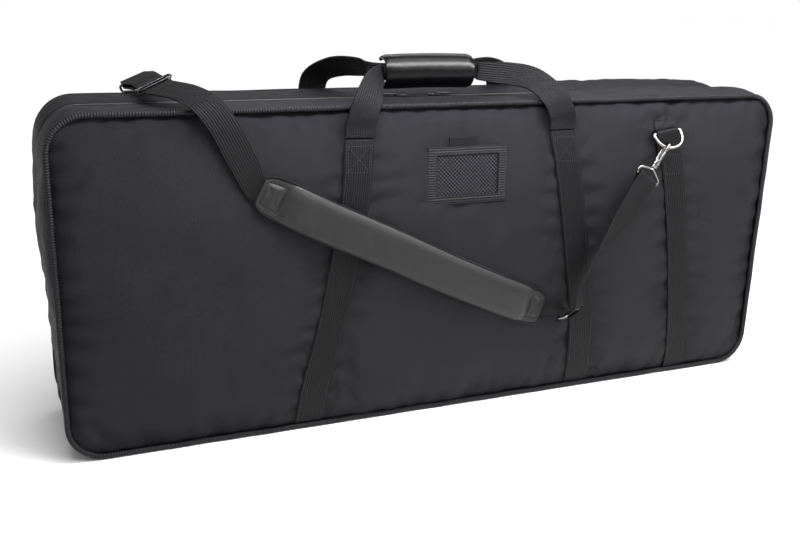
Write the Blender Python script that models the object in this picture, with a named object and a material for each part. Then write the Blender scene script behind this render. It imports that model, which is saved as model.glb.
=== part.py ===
"""Telescope carry case: a long padded clamshell bag with wrapped handles and a shoulder strap.

X runs along the case, the front panel faces -Y and +Z is up. The origin is the centre of the flat bottom.
Each sub-part is one object. Lengths are metres.
"""

import math

import bmesh
import bpy
from mathutils import Vector

LENGTH = 1.016
HEIGHT = 0.420
DEPTH = 0.170
CORNER = 0.048
CROWN = 0.010
GAP = 0.0003

PIPING_RADIUS = 0.0035
PIPING_INSET = 0.004
GUSSET_SHRINK = 0.0035
GUSSET_THICK = 0.003
PANEL_INSET = 0.008
FOAM_THICK = 0.008
LINING_THICK = 0.0012
ZIP_END_Z = 0.075
ZIP_HALF_WIDTH = 0.0131
TEETH_GAP = 0.0008
BOARD_THICK = 0.003

WEBBING = 0.0022
HANDLE_WIDTH = 0.038
SHOULDER_WIDTH = 0.034
STAND_OFF = 0.0009
HANDLE_TOP_X = 0.143
HANDLE_HINGE_Z = 0.380
LEFT_STRAP_X = ((0.0, -0.207), (0.06, -0.200), (0.14, -0.180), (0.243, -0.159), (0.31, -0.148), (0.380, -0.143))
RIGHT_STRAP_X = ((0.0, 0.200), (0.11, 0.194), (0.21, 0.178), (0.254, 0.170), (0.317, 0.157), (0.380, 0.143))
FRONT_ANCHOR_X = ((0.0, 0.375), (0.1, 0.365), (0.2, 0.351), (0.28, 0.3365), (0.33, 0.3245), (0.372, 0.3115))
REAR_ANCHOR_X = ((0.0, -0.405), (0.1, -0.398), (0.2, -0.387), (0.28, -0.374), (0.33, -0.364), (0.372, -0.354))

RING_WIRE = 0.0022
RING_HALF_WIDTH = 0.0215
RING_REACH = 0.0245
RING_SWING = (39, 134)
HOOK_THICK = 0.0048
HOOK_SEAT = 0.0062
EYE_BAR = 0.0576

GRIP_X = (-0.090, 0.031)
GRIP_CENTRE = (-0.030, 0.452)
GRIP_RADII = (0.0155, 0.0175)
GRIP_COVER_THICK = 0.003
GRIP_MOUTH = math.radians(55)

SLIDER_X = (-0.052, -0.004)
PAD_WIDTH = 0.052
RING_WEBBING = 0.028

POCKET_CENTRE = (0.003, 0.3275)
POCKET_TILT = math.radians(2.5)


def clear_scene():
    for item in list(bpy.data.objects):
        bpy.data.objects.remove(item, do_unlink=True)


def material(name, colour, roughness, metallic=0.0):
    made = bpy.data.materials.new(name)
    made.use_nodes = True
    shader = made.node_tree.nodes["Principled BSDF"]
    shader.inputs["Base Color"].default_value = (*colour, 1.0)
    shader.inputs["Roughness"].default_value = roughness
    shader.inputs["Metallic"].default_value = metallic
    return made


def link(name, mesh, finish):
    made = bpy.data.objects.new(name, mesh)
    mesh.materials.append(finish)
    bpy.context.scene.collection.objects.link(made)
    return made


def solid(name, points, faces, finish, origin=(0.0, 0.0, 0.0)):
    """A closed mesh from points and faces, its normals turned outwards and its origin where asked."""
    place = Vector(origin)
    shape = bmesh.new()
    corners = [shape.verts.new(Vector(point) - place) for point in points]
    for face in faces:
        shape.faces.new([corners[index] for index in face])
    bmesh.ops.recalc_face_normals(shape, faces=shape.faces)
    mesh = bpy.data.meshes.new(name)
    shape.to_mesh(mesh)
    shape.free()
    made = link(name, mesh, finish)
    made.location = place
    return made


def loft(name, sections, finish, origin=(0.0, 0.0, 0.0)):
    """A solid through equal-sized sections, with a flat cap at each end."""
    size = len(sections[0])
    points = [point for section in sections for point in section]
    faces = [list(range(size)), list(range(len(points) - size, len(points)))]
    for row in range(len(sections) - 1):
        for column in range(size):
            after = (column + 1) % size
            low, high = row * size, (row + 1) * size
            faces.append([low + column, low + after, high + after, high + column])
    return solid(name, points, faces, finish, origin)


def plate(name, outer, thickness, frame, finish, holes=(), origin=None):
    """A flat plate cut to an outline, with holes. frame is (centre, first axis, second axis)."""
    centre, first, second = (Vector(part) for part in frame)
    normal = first.cross(second).normalized()
    place = centre if origin is None else Vector(origin)
    shape = bmesh.new()
    edges = []
    for loop in (outer, *holes):
        spots = [centre + first * a + second * b - normal * thickness / 2 - place for a, b in loop]
        corners = [shape.verts.new(spot) for spot in spots]
        edges += [shape.edges.new((corners[i - 1], corners[i])) for i in range(len(corners))]
    bmesh.ops.triangle_fill(shape, use_beauty=True, edges=edges)
    raised = bmesh.ops.extrude_face_region(shape, geom=list(shape.faces), use_keep_orig=True)
    moved = [item for item in raised["geom"] if isinstance(item, bmesh.types.BMVert)]
    bmesh.ops.translate(shape, verts=moved, vec=normal * thickness)
    bmesh.ops.recalc_face_normals(shape, faces=shape.faces)
    mesh = bpy.data.meshes.new(name)
    shape.to_mesh(mesh)
    shape.free()
    made = link(name, mesh, finish)
    made.location = place
    return made


def tube(name, points, radius, finish, closed=False, origin=(0.0, 0.0, 0.0)):
    curve = bpy.data.curves.new(name, "CURVE")
    curve.dimensions = "3D"
    curve.bevel_depth = radius
    curve.bevel_resolution = 2
    curve.use_fill_caps = True
    line = curve.splines.new("POLY")
    line.points.add(len(points) - 1)
    for spot, point in zip(line.points, points):
        spot.co = (*(Vector(point) - Vector(origin)), 1.0)
    line.use_cyclic_u = closed
    made = link(name, curve, finish)
    made.location = origin
    return made


def join(body, *extras):
    """Union of body with helper solids, which stay in the scene as hidden guides."""
    for extra in extras:
        modifier = body.modifiers.new("join_" + extra.name, "BOOLEAN")
        modifier.operation = "UNION"
        modifier.solver = "EXACT"
        modifier.object = extra
        extra.hide_render = True
        extra.display_type = "WIRE"
    return body


def box_loop(low, high):
    return [(low[0], low[1]), (high[0], low[1]), (high[0], high[1]), (low[0], high[1])]


def arc(centre, radius, start, end, steps):
    turns = [math.radians(start + (end - start) * step / steps) for step in range(steps + 1)]
    return [(centre[0] + radius * math.cos(turn), centre[1] + radius * math.sin(turn)) for turn in turns]


def rounded_outline(inset, steps=6):
    """The case's outline in X and Z, moved inwards."""
    half, radius = LENGTH / 2 - CORNER, CORNER - inset
    corners = (
        (half, HEIGHT - CORNER, 0),
        (-half, HEIGHT - CORNER, 90),
        (-half, CORNER, 180),
        (half, CORNER, 270),
    )
    return [spot for x, z, turn in corners for spot in arc((x, z), radius, turn, turn + 90, steps)]


def crown(x, z):
    half_x, half_z = LENGTH / 2 - PANEL_INSET, HEIGHT / 2 - PANEL_INSET
    across = 1 - min(1.0, abs(x / half_x)) ** 4
    return CROWN * across * (1 - min(1.0, abs((z - HEIGHT / 2) / half_z)) ** 4)


def panel_point(side, x, z, off):
    return (x, side * (DEPTH / 2 + crown(x, z) + off), z)


def panel_across(side, x, z, along):
    """A direction laid on the panel's surface: along, tipped by the crown's slope."""
    step = 0.004
    rise = crown(x + along[0] * step, z + along[2] * step) - crown(x - along[0] * step, z - along[2] * step)
    return (along[0], side * rise / (2 * step), along[2])


def table_value(table, at):
    """Smooth value through a table of (position, value)."""
    count = len(table)
    for index in range(count - 1):
        low, high = table[index], table[index + 1]
        if at > high[0] and index < count - 2:
            continue
        before, after = table[max(index - 1, 0)], table[min(index + 2, count - 1)]
        t = (at - low[0]) / (high[0] - low[0])
        slope_low = (high[1] - before[1]) / (high[0] - before[0])
        slope_high = (after[1] - low[1]) / (after[0] - low[0])
        span = high[0] - low[0]
        return (
            low[1] * (1 + 2 * t) * (1 - t) ** 2
            + slope_low * span * t * (1 - t) ** 2
            + high[1] * t * t * (3 - 2 * t)
            + slope_high * span * t * t * (t - 1)
        )
    return table[-1][1]


def upper_band_path(steps=6):
    """Pairs of a point and its inward direction, up one end, along the top and down the other."""
    half = LENGTH / 2 - GUSSET_SHRINK
    top = HEIGHT - GUSSET_SHRINK
    radius = CORNER - GUSSET_SHRINK
    path = [((-half, ZIP_END_Z), (1.0, 0.0))]
    for x, start in ((-half + radius, 180), (half - radius, 90)):
        for spot in arc((x, top - radius), radius, start, start - 90, steps):
            inward = Vector((x - spot[0], top - radius - spot[1])).normalized()
            path.append((spot, tuple(inward)))
    path.append(((half, ZIP_END_Z), (-1.0, 0.0)))
    return path


def lower_band_path(steps=6):
    half = LENGTH / 2 - GUSSET_SHRINK
    radius = CORNER - GUSSET_SHRINK
    end = ZIP_END_Z - 0.0008
    path = [((-half, end), (1.0, 0.0))]
    for x, start in ((-half + radius, 180), (half - radius, 270)):
        for spot in arc((x, radius), radius, start, start + 90, steps):
            inward = Vector((x - spot[0], radius - spot[1])).normalized()
            path.append((spot, tuple(inward)))
    path.append(((half, end), (-1.0, 0.0)))
    return path


def band(name, path, section, finish):
    """A strip swept along a path. section lists (inset, y)."""
    sections = [
        [(spot[0] + way[0] * inset, y, spot[1] + way[1] * inset) for inset, y in section]
        for spot, way in path
    ]
    return loft(name, sections, finish)


def smoothed(stations, steps):
    """Catmull-Rom through stations of (point, across, width)."""
    rows = []
    count = len(stations)
    for index in range(count - 1):
        around = [stations[min(max(index + shift, 0), count - 1)] for shift in (-1, 0, 1, 2)]
        points = [Vector(row[0]) for row in around]
        for step in range(steps):
            t = step / steps
            point = 0.5 * (
                2 * points[1]
                + (points[2] - points[0]) * t
                + (2 * points[0] - 5 * points[1] + 4 * points[2] - points[3]) * t * t
                + (3 * points[1] - points[0] - 3 * points[2] + points[3]) * t * t * t
            )
            across = Vector(around[1][1]).lerp(Vector(around[2][1]), t)
            width = around[1][2] + (around[2][2] - around[1][2]) * t
            rows.append((point, across, width))
    rows.append(stations[-1])
    return rows


def ribbon(name, stations, finish, thickness=WEBBING, origin=(0.0, 0.0, 0.0), level=False):
    """Flat webbing through stations of (point, across, width). A level ribbon keeps across as it is given."""
    spots = [Vector(row[0]) for row in stations]
    sections = []
    for index, (_, across, width) in enumerate(stations):
        ahead = spots[min(index + 1, len(spots) - 1)] - spots[max(index - 1, 0)]
        ahead.normalize()
        side = Vector(across)
        if not level:
            side = side - ahead * side.dot(ahead)
        side.normalize()
        face = ahead.cross(side).normalized() * thickness / 2
        side = side * width / 2
        spot = spots[index]
        sections.append([spot - side - face, spot + side - face, spot + side + face, spot - side + face])
    return loft(name, sections, finish, origin)


# Case halves

def crowned_cover(side, finish):
    """The outer panel cover: flat behind and domed outside."""
    rings = (1.0, 0.97, 0.9, 0.78, 0.55, 0.25)
    rim = rounded_outline(PANEL_INSET)
    half = LENGTH / 2 - PANEL_INSET
    points, faces = [], []
    for scale in rings:
        for x, z in rim:
            spread = (half - (1 - scale) * (HEIGHT / 2)) / half
            spot = (x * spread, HEIGHT / 2 + (z - HEIGHT / 2) * scale)
            points.append(panel_point(side, *spot, 0.0012))
    size = len(rim)
    for row in range(len(rings) - 1):
        for column in range(size):
            after = (column + 1) % size
            low, high = row * size, (row + 1) * size
            faces.append([low + column, low + after, high + after, high + column])
    faces.append([(len(rings) - 1) * size + column for column in range(size)])
    start = len(points)
    points += [(x, side * DEPTH / 2, z) for x, z in rim]
    faces.append([start + column for column in range(size)])
    for column in range(size):
        after = (column + 1) % size
        faces.append([column, after, start + after, start + column])
    solid(("front" if side < 0 else "rear") + "_panel_cover", points, faces, finish)


def flat_layer(name, side, outer_y, thickness, finish):
    centre = (0.0, side * (outer_y - thickness / 2), 0.0)
    plate(name, rounded_outline(PANEL_INSET, 4), thickness, (centre, (1, 0, 0), (0, 0, 1)), finish, origin=(0, 0, 0))


def case_half(side, finishes):
    where = "front" if side < 0 else "rear"
    crowned_cover(side, finishes["nylon"])
    outer = DEPTH / 2 - GAP
    flat_layer(where + "_panel_foam", side, outer, FOAM_THICK, finishes["foam"])
    flat_layer(where + "_panel_lining", side, outer - FOAM_THICK - GAP, LINING_THICK, finishes["lining"])
    rim = [(x, side * DEPTH / 2, z) for x, z in rounded_outline(PIPING_INSET)]
    tube(where + "_piping", rim, PIPING_RADIUS, finishes["piping"], closed=True)
    edge = side * (DEPTH / 2 - PIPING_RADIUS - GAP)
    seam = side * (ZIP_HALF_WIDTH + GAP)
    strip = [(0.0, edge), (0.0, seam), (GUSSET_THICK, seam), (GUSSET_THICK, edge)]
    band(where + "_gusset", upper_band_path(), strip, finishes["nylon"])
    tape = [
        (0.0004, side * ZIP_HALF_WIDTH),
        (0.0004, side * 0.005),
        (-0.0005, side * 0.0045),
        (-0.0005, side * TEETH_GAP),
        (0.0027, side * TEETH_GAP),
        (0.0027, side * 0.0045),
        (0.0020, side * 0.005),
        (0.0020, side * ZIP_HALF_WIDTH),
    ]
    band(where + "_zip_tape", upper_band_path(), tape, finishes["zip"])


def bottom(finishes):
    edge = DEPTH / 2 - PIPING_RADIUS - GAP
    strip = [(0.0, -edge), (0.0, edge), (GUSSET_THICK, edge), (GUSSET_THICK, -edge)]
    band("bottom_gusset", lower_band_path(), strip, finishes["nylon"])
    middle = GUSSET_THICK + GAP + BOARD_THICK / 2
    plate("bottom_board", box_loop((-0.452, -0.070), (0.452, 0.070)), BOARD_THICK,
          ((0, 0, middle), (1, 0, 0), (0, 1, 0)), finishes["board"])
    for name, side in (("zip_end_tab_left", -1), ("zip_end_tab_right", 1)):
        x = side * (LENGTH / 2 - GUSSET_SHRINK + GAP + 0.00075)
        plate(name, box_loop((-0.012, -0.009), (0.012, 0.009)), 0.0015,
              ((x, 0, 0.0615), (0, 1, 0), (0, 0, 1)), finishes["webbing"])


# Straps sewn to the panels

def sewn_handle_strap(name, side, hand, finish):
    rows = []
    count = 18
    low, high = 0.0125, HANDLE_HINGE_Z - 0.0015
    for step in range(count + 1):
        z = low + (high - low) * step / count
        x = table_value(LEFT_STRAP_X if hand < 0 else RIGHT_STRAP_X, z)
        rows.append((panel_point(side, x, z, 0.0012 + STAND_OFF + 0.0004), panel_across(side, x, z, (1, 0, 0)), HANDLE_WIDTH))
    ribbon(name, rows, finish, level=True)


def anchor_frame(side):
    """Centre of the D-ring's bar and the unit directions along the bar, up the strap and outwards."""
    if side < 0:
        centre, lean = Vector((0.3105, -0.0956, 0.3705)), math.radians(-8.5)
    else:
        centre, lean = Vector((-0.354, 0.0956, 0.3705)), math.radians(8.5)
    along = Vector((math.cos(lean), 0, -math.sin(lean)))
    upward = Vector((math.sin(lean), 0, math.cos(lean)))
    return centre, along, upward, Vector((0, side, 0))


def anchor_strap(name, side, finish):
    """Sewn webbing whose top end folds round the D-ring's bar and back behind itself."""
    centre, along, upward, out = anchor_frame(side)
    wrap = 0.0036
    fold = [(-0.020, -wrap), (-0.008, -wrap), (0.0, -wrap)]
    fold += [(wrap * math.sin(math.radians(t)), -wrap * math.cos(math.radians(t))) for t in (30, 60, 90, 120, 150, 180)]
    fold += [(-0.006, 0.0028), (-0.0125, 0.0008), (-0.021, 0.0002)]
    rows = [(centre + upward * high + out * off, along, SHOULDER_WIDTH) for high, off in fold]
    top = (centre + upward * -0.032).z
    table = FRONT_ANCHOR_X if side < 0 else REAR_ANCHOR_X
    count = 18
    for step in range(count + 1):
        z = top + (0.0125 - top) * step / count
        x = table_value(table, z)
        turn = along.lerp(Vector((1, 0, 0)), min(1.0, step / 6)).normalized()
        off = 0.0012 + STAND_OFF + 0.0006
        rows.append((panel_point(side, x, z, off), panel_across(side, x, z, turn), SHOULDER_WIDTH))
    ribbon(name, rows, finish)


def anchor_patch(name, side, finish):
    """Half-round reinforcement above the D-ring's bar."""
    centre, along, upward, _ = anchor_frame(side)
    radius, base = 0.0175, 0.0055
    outer, inner = [], []
    for ring in (1.0, 0.6, 0.25):
        for step in range(9):
            turn = math.pi * step / 8
            spot = centre + along * radius * ring * math.cos(turn) + upward * (base + radius * ring * math.sin(turn))
            rise = 0.0016 + 0.0012 * (1 - ring * ring)
            outer.append(panel_point(side, spot.x, spot.z, 0.0012 + STAND_OFF + rise))
            inner.append(panel_point(side, spot.x, spot.z, 0.0012 + STAND_OFF))
    size, points, faces = 9, outer + inner, []
    half = len(outer)
    for shift in (0, half):
        for ring in range(2):
            for step in range(size - 1):
                low = shift + ring * size + step
                faces.append([low, low + 1, low + size + 1, low + size])
        faces.append([shift + 2 * size + step for step in range(size)])
    for step in range(size - 1):
        faces.append([step, step + 1, half + step + 1, half + step])
    floor = [0, size, 2 * size, 3 * size - 1, 2 * size - 1, size - 1]
    for first, second in zip(floor, floor[1:]):
        faces.append([first, second, half + second, half + first])
    solid(name, points, faces, finish)


# D-rings and snap hooks

def ring_out(side):
    """Direction from the D-ring's bar to the far side of the ring."""
    centre, along, upward, out = anchor_frame(side)
    swing = math.radians(RING_SWING[0 if side < 0 else 1])
    return centre, along, -upward * math.cos(swing) + out * math.sin(swing)


def ring_point(side, degrees):
    """A point on the D's wire, from one end of its bar (0) round to the other (180)."""
    centre, along, reach = ring_out(side)
    turn = math.radians(degrees)
    flat = math.copysign(abs(math.cos(turn)) ** 0.85, math.cos(turn))
    return centre + along * RING_HALF_WIDTH * flat + reach * RING_REACH * abs(math.sin(turn)) ** 0.85


def d_ring(name, side, finish):
    points = [ring_point(side, 180 * step / 14) for step in range(15)]
    tube(name, points, RING_WIRE, finish, closed=True, origin=ring_out(side)[0])


def hook_frame(side):
    """Where the hook holds the ring, its direction towards the eye, and its two cross directions."""
    turn = 120 if side < 0 else 115
    contact = ring_point(side, turn)
    wire = (ring_point(side, turn + 4) - ring_point(side, turn - 4)).normalized()
    if side < 0:
        shank = Vector((-0.58, -0.06, -0.81)).normalized()
        flat = Vector((0.815, 0.0, -0.58))
    else:
        shank = Vector((-0.373, -0.261, 0.890)).normalized()
        flat = Vector((0.906, 0.0, 0.423))
    pierce = (wire - shank * wire.dot(shank)).normalized()
    if pierce.x < 0:
        pierce = -pierce
    spread = pierce.cross(shank).normalized()
    if spread.y * side < 0:
        spread = -spread
    return contact, shank, spread, flat


def hook_part(name, side, loop, thickness, finish, origin_at=(0.0, 0.0)):
    contact, shank, spread, _ = hook_frame(side)
    start = contact - shank * HOOK_SEAT
    origin = start + shank * origin_at[0] + spread * origin_at[1]
    return plate(name, loop, thickness, (start, shank, spread), finish, origin=origin)


def snap_hook(where, side, finishes):
    """Hook body, its sprung gate and the swivel eye. Outlines are (along the shank, across)."""
    body = [(0.040, -0.004), (0.036, -0.0060), (0.030, -0.0105), (0.0085, -0.0105)]
    body += arc((0.0085, 0.0), 0.0105, 270, 90, 8)[1:]
    body += [(0.0142, 0.0105), (0.0142, 0.0060), (0.0085, 0.0060)]
    body += arc((0.0085, 0.0), 0.0060, 90, 270, 6)[1:]
    body += [(0.025, -0.0060), (0.028, -0.003), (0.028, 0.001), (0.0315, 0.0025), (0.036, 0.0050), (0.040, 0.004)]
    hook_part(where + "_snap_hook", side, body, HOOK_THICK, finishes["metal"])
    gate = [(0.033, 0.0060), (0.033, 0.0090), (0.030, 0.0103), (0.0148, 0.0103), (0.0148, 0.0068), (0.029, 0.0048)]
    hook_part(where + "_hook_gate", side, gate, 0.0036, finishes["metal"], origin_at=(0.0305, 0.0076))
    contact, shank, _, flat = hook_frame(side)
    across = (flat - shank * flat.dot(shank)).normalized()
    start = contact - shank * HOOK_SEAT
    outer = [(0.0404, -0.0028), (0.0404, 0.0028), (0.0450, 0.0028), (0.0466, 0.0205), (0.0480, 0.0212),
             (0.0592, 0.0212), (0.0592, -0.0212), (0.0480, -0.0212), (0.0466, -0.0205), (0.0450, -0.0028)]
    window = box_loop((0.0486, -0.0178), (0.0560, 0.0178))
    plate(where + "_hook_eye", outer, 0.0032, (start, shank, across), finishes["metal"], holes=[window])


def eye_bar(side):
    contact, shank, _, flat = hook_frame(side)
    across = (flat - shank * flat.dot(shank)).normalized()
    return contact + shank * (EYE_BAR - HOOK_SEAT), shank, across, shank.cross(across).normalized()


def eye_wrap(side, tail, lead, face_sign):
    """Stations of webbing folded round the eye's far bar."""
    centre, shank, across, face = eye_bar(side)
    face = face * face_sign
    wrap = 0.0040
    rows = [(centre + shank * tail - face * 0.0016, across, SHOULDER_WIDTH),
            (centre + shank * 0.014 - face * 0.0024, across, SHOULDER_WIDTH)]
    for turn in (0, 30, 60, 90, 120, 150, 180):
        angle = math.radians(turn)
        spot = centre - face * wrap * math.cos(angle) - shank * wrap * math.sin(angle)
        rows.append((spot, across, SHOULDER_WIDTH))
    rows.append((centre + shank * 0.014 + face * 0.0024, across, SHOULDER_WIDTH))
    rows.append((centre + shank * lead + face * 0.0020, across, SHOULDER_WIDTH))
    return rows


# Handles

def handle_loop(name, side, finish):
    """Loose webbing loop from the sewn ends up into the grip, folded narrow inside it."""
    hinge_y = panel_point(side, HANDLE_TOP_X, HANDLE_HINGE_Z, 0.0012 + STAND_OFF)[1]
    wide, narrow = HANDLE_WIDTH, 0.019
    low = HANDLE_HINGE_Z + GAP
    if side < 0:
        stations = [
            ((-0.143, hinge_y, low), (1, 0, 0), wide),
            ((-0.1425, hinge_y, 0.392), (1, 0, 0), wide),
            ((-0.139, hinge_y - 0.002, 0.408), (1, 0.02, -0.08), wide),
            ((-0.131, -0.090, 0.427), (0.95, 0.10, -0.30), 0.036),
            ((-0.116, -0.068, 0.4440), (0.72, 0.05, -0.62), 0.030),
            ((-0.098, -0.044, 0.4515), (0.30, 0.0, -0.95), 0.022),
            ((-0.090, -0.0340, 0.4525), (0.0, 0.0, -1), narrow),
            ((0.031, -0.0340, 0.4525), (0.0, 0.0, -1), narrow),
            ((0.044, -0.040, 0.4520), (-0.15, -0.1, -1), 0.023),
            ((0.076, -0.054, 0.4500), (-0.35, -0.25, -0.90), 0.030),
            ((0.106, -0.071, 0.4440), (-0.75, -0.20, -0.62), 0.034),
            ((0.127, -0.0905, 0.4240), (-0.95, -0.08, -0.30), wide),
            ((0.138, hinge_y - 0.002, 0.405), (-1, 0, -0.08), wide),
            ((0.1425, hinge_y, 0.392), (-1, 0, 0), wide),
            ((0.143, hinge_y, low), (-1, 0, 0), wide),
        ]
    else:
        stations = [
            ((-0.143, hinge_y, low), (1, 0, 0), wide),
            ((-0.1435, hinge_y, 0.392), (1, 0, 0), wide),
            ((-0.145, hinge_y + 0.004, 0.412), (1, 0, -0.05), wide),
            ((-0.142, 0.082, 0.4380), (0.97, 0.0, -0.25), wide),
            ((-0.125, 0.046, 0.4530), (0.80, -0.25, -0.55), 0.034),
            ((-0.104, 0.010, 0.4550), (0.35, -0.1, -0.93), 0.024),
            ((-0.090, -0.0160, 0.4525), (0.0, 0.0, -1), narrow),
            ((0.031, -0.0160, 0.4525), (0.0, 0.0, -1), narrow),
            ((0.050, 0.000, 0.4535), (-0.25, 0.1, -0.97), 0.024),
            ((0.090, 0.034, 0.4520), (-0.65, 0.25, -0.72), 0.030),
            ((0.130, 0.074, 0.4380), (-0.95, 0.1, -0.30), wide),
            ((0.145, hinge_y + 0.004, 0.410), (-1, 0, -0.05), wide),
            ((0.1435, hinge_y, 0.392), (-1, 0, 0), wide),
            ((0.143, hinge_y, low), (-1, 0, 0), wide),
        ]
    rows = smoothed(stations, 4)
    ribbon(name, rows, finish, origin=(0, hinge_y, HANDLE_HINGE_Z))


def grip(finishes):
    """The padded wrap, open at the back where the rear handle lies in it."""
    centre_y, centre_z = GRIP_CENTRE

    def shell(name, outer, inner, finish):
        turns = [GRIP_MOUTH + (2 * math.pi - 2 * GRIP_MOUTH) * step / 14 for step in range(15)]
        loop = [(outer[0] * math.cos(t), outer[1] * math.sin(t)) for t in turns]
        loop += [(inner[0] * math.cos(t), inner[1] * math.sin(t)) for t in reversed(turns)]
        sections = [[(x, centre_y + y, centre_z + z) for y, z in loop] for x in GRIP_X]
        loft(name, sections, finish)

    outer = GRIP_RADII
    middle = (outer[0] - GRIP_COVER_THICK, outer[1] - GRIP_COVER_THICK)
    shell("grip_cover", outer, middle, finishes["leather"])
    start = (middle[0] - GAP, middle[1] - GAP)
    shell("grip_padding", start, (start[0] - 0.0025, start[1] - 0.0018), finishes["foam"])


# Zip sliders

def zip_slider(where, x, way, finishes):
    """An I-shaped slider over both rows of teeth, its bail, and the pull lying away from the middle."""
    top = HEIGHT - GUSSET_SHRINK
    high, low = top + 0.0009, top - 0.0045
    profile = [
        (-0.0062, high), (-0.0062, high + 0.0018), (0.0062, high + 0.0018), (0.0062, high), (0.0004, high),
        (0.0004, low), (0.005, low), (0.005, low - 0.0014), (-0.005, low - 0.0014), (-0.005, low), (-0.0004, low),
        (-0.0004, high),
    ]
    body = plate("zip_slider_" + where, profile, 0.015, ((x, 0, 0), (0, 1, 0), (0, 0, 1)), finishes["metal"],
                 origin=(x, 0, top))
    deck = high + 0.0018
    bail = [(-0.0045, -0.0005), (-0.0045, 0.0032), (0.0045, 0.0032), (0.0045, -0.0005), (0.0033, -0.0005),
            (0.0033, 0.0021), (-0.0033, 0.0021), (-0.0033, -0.0005)]
    arch = plate("bail_guide_" + where, bail, 0.0018, ((x, 0, deck), (1, 0, 0), (0, 0, 1)), finishes["metal"])
    join(body, arch)
    root = x + way * 0.002
    pull = [(way * -0.0007, -0.0032), (way * 0.0200, -0.0042), (way * 0.0220, -0.0025), (way * 0.0220, 0.0025),
            (way * 0.0200, 0.0042), (way * -0.0007, 0.0032)]
    window = box_loop((min(way * 0.0007, way * 0.0060), -0.0013), (max(way * 0.0007, way * 0.0060), 0.0013))
    plate("zip_pull_" + where, pull, 0.0011, ((root, 0, deck + 0.0010), (1, 0, 0), (0, 1, 0)), finishes["metal"],
          holes=[window])


# Shoulder strap

def pad_line():
    """Middle line of the shoulder pad: (x, z) from its upper end to its lower end."""
    return [(-0.270, 0.3240), (-0.229, 0.3020), (-0.185, 0.2790), (-0.104, 0.2400), (-0.010, 0.1925),
            (0.084, 0.1490), (0.122, 0.1345)]


def pad_layer(name, outer_y, thickness, shrink, finish):
    spots = pad_line()
    stations = []
    for index, (x, z) in enumerate(spots):
        before, after = spots[max(index - 1, 0)], spots[min(index + 1, len(spots) - 1)]
        run = Vector((after[0] - before[0], 0, after[1] - before[1])).normalized()
        across = Vector((-run.z, 0, run.x))
        width = PAD_WIDTH - 2 * shrink
        if index in (0, len(spots) - 1):
            width -= 0.018
        if index == 1:
            width -= 0.004
        stations.append(((x, -(outer_y - thickness / 2), z), across, width))
    ribbon(name, smoothed(stations, 3), finish, thickness=thickness)


def strap_ring_frame():
    """Centre of the ring that joins the two lengths of webbing, its long and short directions and its normal."""
    long_way = Vector((0.871, 0.473, 0.108)).normalized()
    short_way = Vector((0.39, -0.807, 0.439))
    short_way = (short_way - long_way * short_way.dot(long_way)).normalized()
    return Vector((0.1590, -0.1165, 0.1275)), long_way, short_way, long_way.cross(short_way)


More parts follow.
